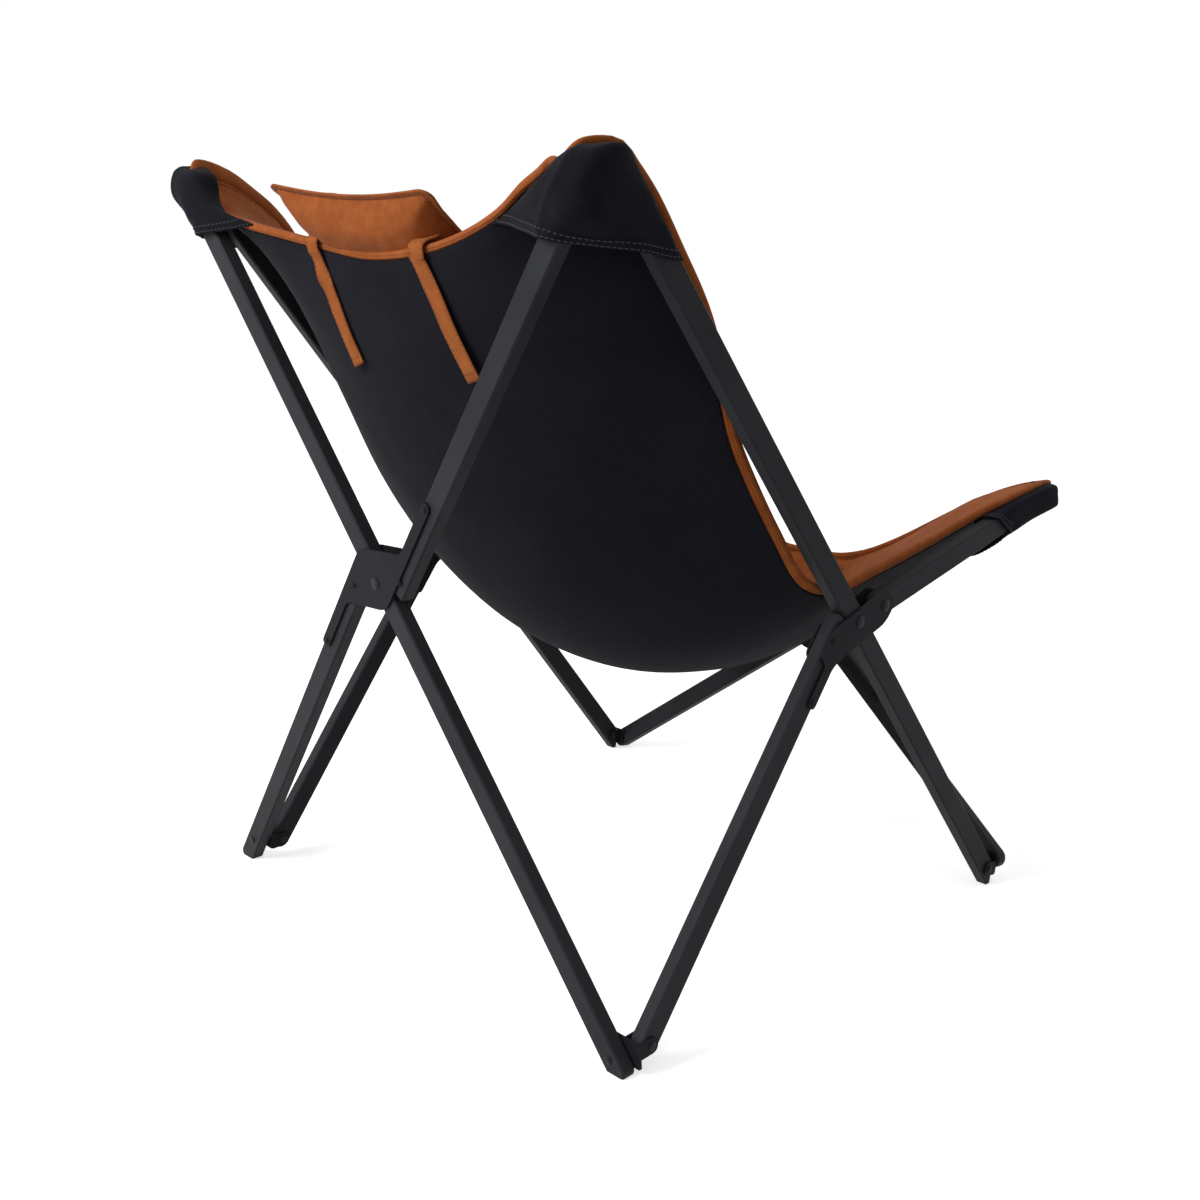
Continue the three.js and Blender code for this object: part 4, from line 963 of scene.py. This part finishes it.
def strap(name, node, start_x, end_x, width, reach, kink):
    centre = strap_centre(start_x, end_x, reach, kink)
    forward = unit(np.gradient(centre, axis=0))
    side = unit(np.cross(forward, np.cross(np.array((1.0, 0, 0)), forward)))
    out = unit(np.cross(forward, side))
    if out[len(out) - STRAP_POINTS // 2][1] < 0:
        out = -out
    share = np.linspace(0, 1, len(centre))
    angle = KINK_TWIST * kink * bell(share, KINK_TWIST_AT, KINK_TWIST_WIDTH)
    shape = KINK_WIDER - KINK_EASE * smoothstep(share, *KINK_EASE_ALONG)
    waist = 1 + kink * (shape - KINK_WAIST * bell(share, KINK_WAIST_AT, KINK_WAIST_WIDTH))
    turned = side * np.cos(angle)[:, None] + out * np.sin(angle)[:, None]
    lifted = out * np.cos(angle)[:, None] - side * np.sin(angle)[:, None]
    from_middle = np.abs(STRAP_PLACES)
    thick = STRAP_THICK - STRAP_EDGE_THINNER * (from_middle > STRAP_EDGE_FROM)
    thick = thick - STRAP_GROOVE * bell(from_middle, STRAP_GROOVE_AT, STRAP_GROOVE_WIDTH)
    base = centre[:, None] + turned[:, None] * (waist[:, None] * STRAP_PLACES * width / 2)[..., None]
    wobble = STRAP_WOBBLE * bumps(base, STRAP_WOBBLE_SIZE, seed=31.0)
    front, back = (base + lifted[:, None] * (wobble + way * thick[None, :])[..., None] for way in (1, -1))
    run = run_along(centre)
    uv = np.stack(np.broadcast_arrays(STRAP_PLACES[None, :] * width / 2, run[:, None]), -1)
    if not winds_toward(front, lifted[0]):
        front, back, uv = front[:, ::-1], back[:, ::-1], uv[:, ::-1]
    obj = shell(name, front, back, STRAP, uv)
    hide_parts(node)
    hang(obj)
    seams = [(f"stitch_{k + 1}", front[2:-2, i], lifted[2:-2]) for k, i in enumerate(STRAP_SEAMS)]
    across = front[STRAP_END_ROW, 1:-1]
    seams.append(("end_stitch", across, np.tile(lifted[STRAP_END_ROW], (len(across), 1))))
    threads = [
        hang(stitches(f"{name}_{seam}", line, outward, BROWN_THREAD, STRAP_STITCH_HALF))
        for seam, line, outward in seams
    ]


strap("strap_left_soft", "strap_left", start_x=90, end_x=56, width=19.5, reach=0.108, kink=0.6)
strap("strap_right_soft", "strap_right", start_x=-93, end_x=-125, width=23, reach=0.128, kink=0.05)

# Camera at the photograph's viewing angle: focal length in the photograph's pixels, its place and its aim
PHOTO_PIXELS = 1200
FOCAL_PIXELS = 1441.2
SENSOR = 36
EYE = Vector(placed((-1266.6, 1186.5, 823.5)))
AIM = Vector(placed((-4.7, 0.0, 378.2)))


def facing(place, aim):
    """Turn of a camera or lamp that looks from a place at its aim."""
    return (Vector(aim) - Vector(place)).to_track_quat("-Z", "Y").to_euler()


camera_data = bpy.data.cameras.new("camera")
camera_data.sensor_width = SENSOR
camera_data.lens = FOCAL_PIXELS / PHOTO_PIXELS * SENSOR
camera = bpy.data.objects.new("camera", camera_data)
bpy.context.scene.collection.objects.link(camera)
camera.location = EYE
camera.rotation_euler = facing(EYE, AIM)
bpy.context.scene.camera = camera
bpy.context.scene.view_settings.view_transform = "Standard"


# The white background shows to the camera, in gloss and through clear pieces; other rays get a plainer level
def sees_background(owner):
    rays = add(owner, "ShaderNodeLightPath").outputs
    seen = add(
        owner, "ShaderNodeMath", {"operation": "MAXIMUM"}, _0=rays["Is Camera Ray"], _1=rays["Is Glossy Ray"],
    ).outputs["Value"]
    return add(
        owner, "ShaderNodeMath", {"operation": "MAXIMUM"}, _0=seen, _1=rays["Is Transmission Ray"],
    ).outputs["Value"]


# Pale floor that keeps the chair's shadow and shows white where it is lit, in metres
FLOOR_HALF = 14
FLOOR_DROP = 0.0005
FLOOR_PALE = 0.8
FLOOR_GLOW = 0.62
FLOOR_BOUNCE = 0.45


def make_floor():
    m = new_material("studio_floor")
    pale = add(m, "ShaderNodeBsdfDiffuse", Color=grey(FLOOR_PALE)).outputs["BSDF"]
    glow = add(m, "ShaderNodeEmission", Color=grey(1.0), Strength=FLOOR_GLOW).outputs["Emission"]
    lit = add(m, "ShaderNodeAddShader", _0=pale, _1=glow).outputs["Shader"]
    bounce = add(m, "ShaderNodeBsdfDiffuse", Color=grey(FLOOR_BOUNCE)).outputs["BSDF"]
    mixed = add(m, "ShaderNodeMixShader", _0=sees_background(m), _1=bounce, _2=lit).outputs["Shader"]
    add(m, "ShaderNodeOutputMaterial", Surface=mixed)
    mesh = bpy.data.meshes.new("studio_floor")
    corners = [(x * FLOOR_HALF, y * FLOOR_HALF, 0) for x, y in ((-1, -1), (1, -1), (1, 1), (-1, 1))]
    mesh.from_pydata(corners, [], [(0, 1, 2, 3)])
    mesh.materials.append(m)
    floor = bpy.data.objects.new("studio_floor", mesh)
    floor.location.z = -FLOOR_DROP
    bpy.context.scene.collection.objects.link(floor)
    return floor


make_floor()

# Soft studio light: an even surround, dimmer on the chair's right, and a broad key from behind its left
DIM_SIDE = (-0.97, -0.24, 0.0)
SURROUND_LEVEL = 0.6
DIM_LEVEL = 0.42
KEY_PLACE = (0.9, 3.0, 2.3)
KEY_AIM = (0, 0.05, 0.5)
KEY_SIZE = 1.8
KEY_POWER = 100

world = bpy.data.worlds.new("studio")
bpy.context.scene.world = world
world.use_nodes = True
world.node_tree.nodes.clear()
direction = add(world, "ShaderNodeTexCoord").outputs["Generated"]
toward = add(world, "ShaderNodeVectorMath", {"operation": "DOT_PRODUCT"}, _0=direction, _1=DIM_SIDE)
surround = add(
    world, "ShaderNodeMapRange", Value=toward.outputs["Value"], To_Min=SURROUND_LEVEL, To_Max=DIM_LEVEL,
).outputs["Result"]
level = add(world, "ShaderNodeMapRange", Value=sees_background(world), To_Min=surround, To_Max=1.0)
background = add(world, "ShaderNodeBackground", Color=grey(1.0), Strength=level.outputs["Result"])
add(world, "ShaderNodeOutputWorld", Surface=background.outputs["Background"])

key_data = bpy.data.lights.new("key_light", "AREA")
key_data.shape = "DISK"
key_data.size = KEY_SIZE
key_data.energy = KEY_POWER
key = bpy.data.objects.new("key_light", key_data)
key.location = KEY_PLACE
key.rotation_euler = facing(KEY_PLACE, KEY_AIM)
bpy.context.scene.collection.objects.link(key)
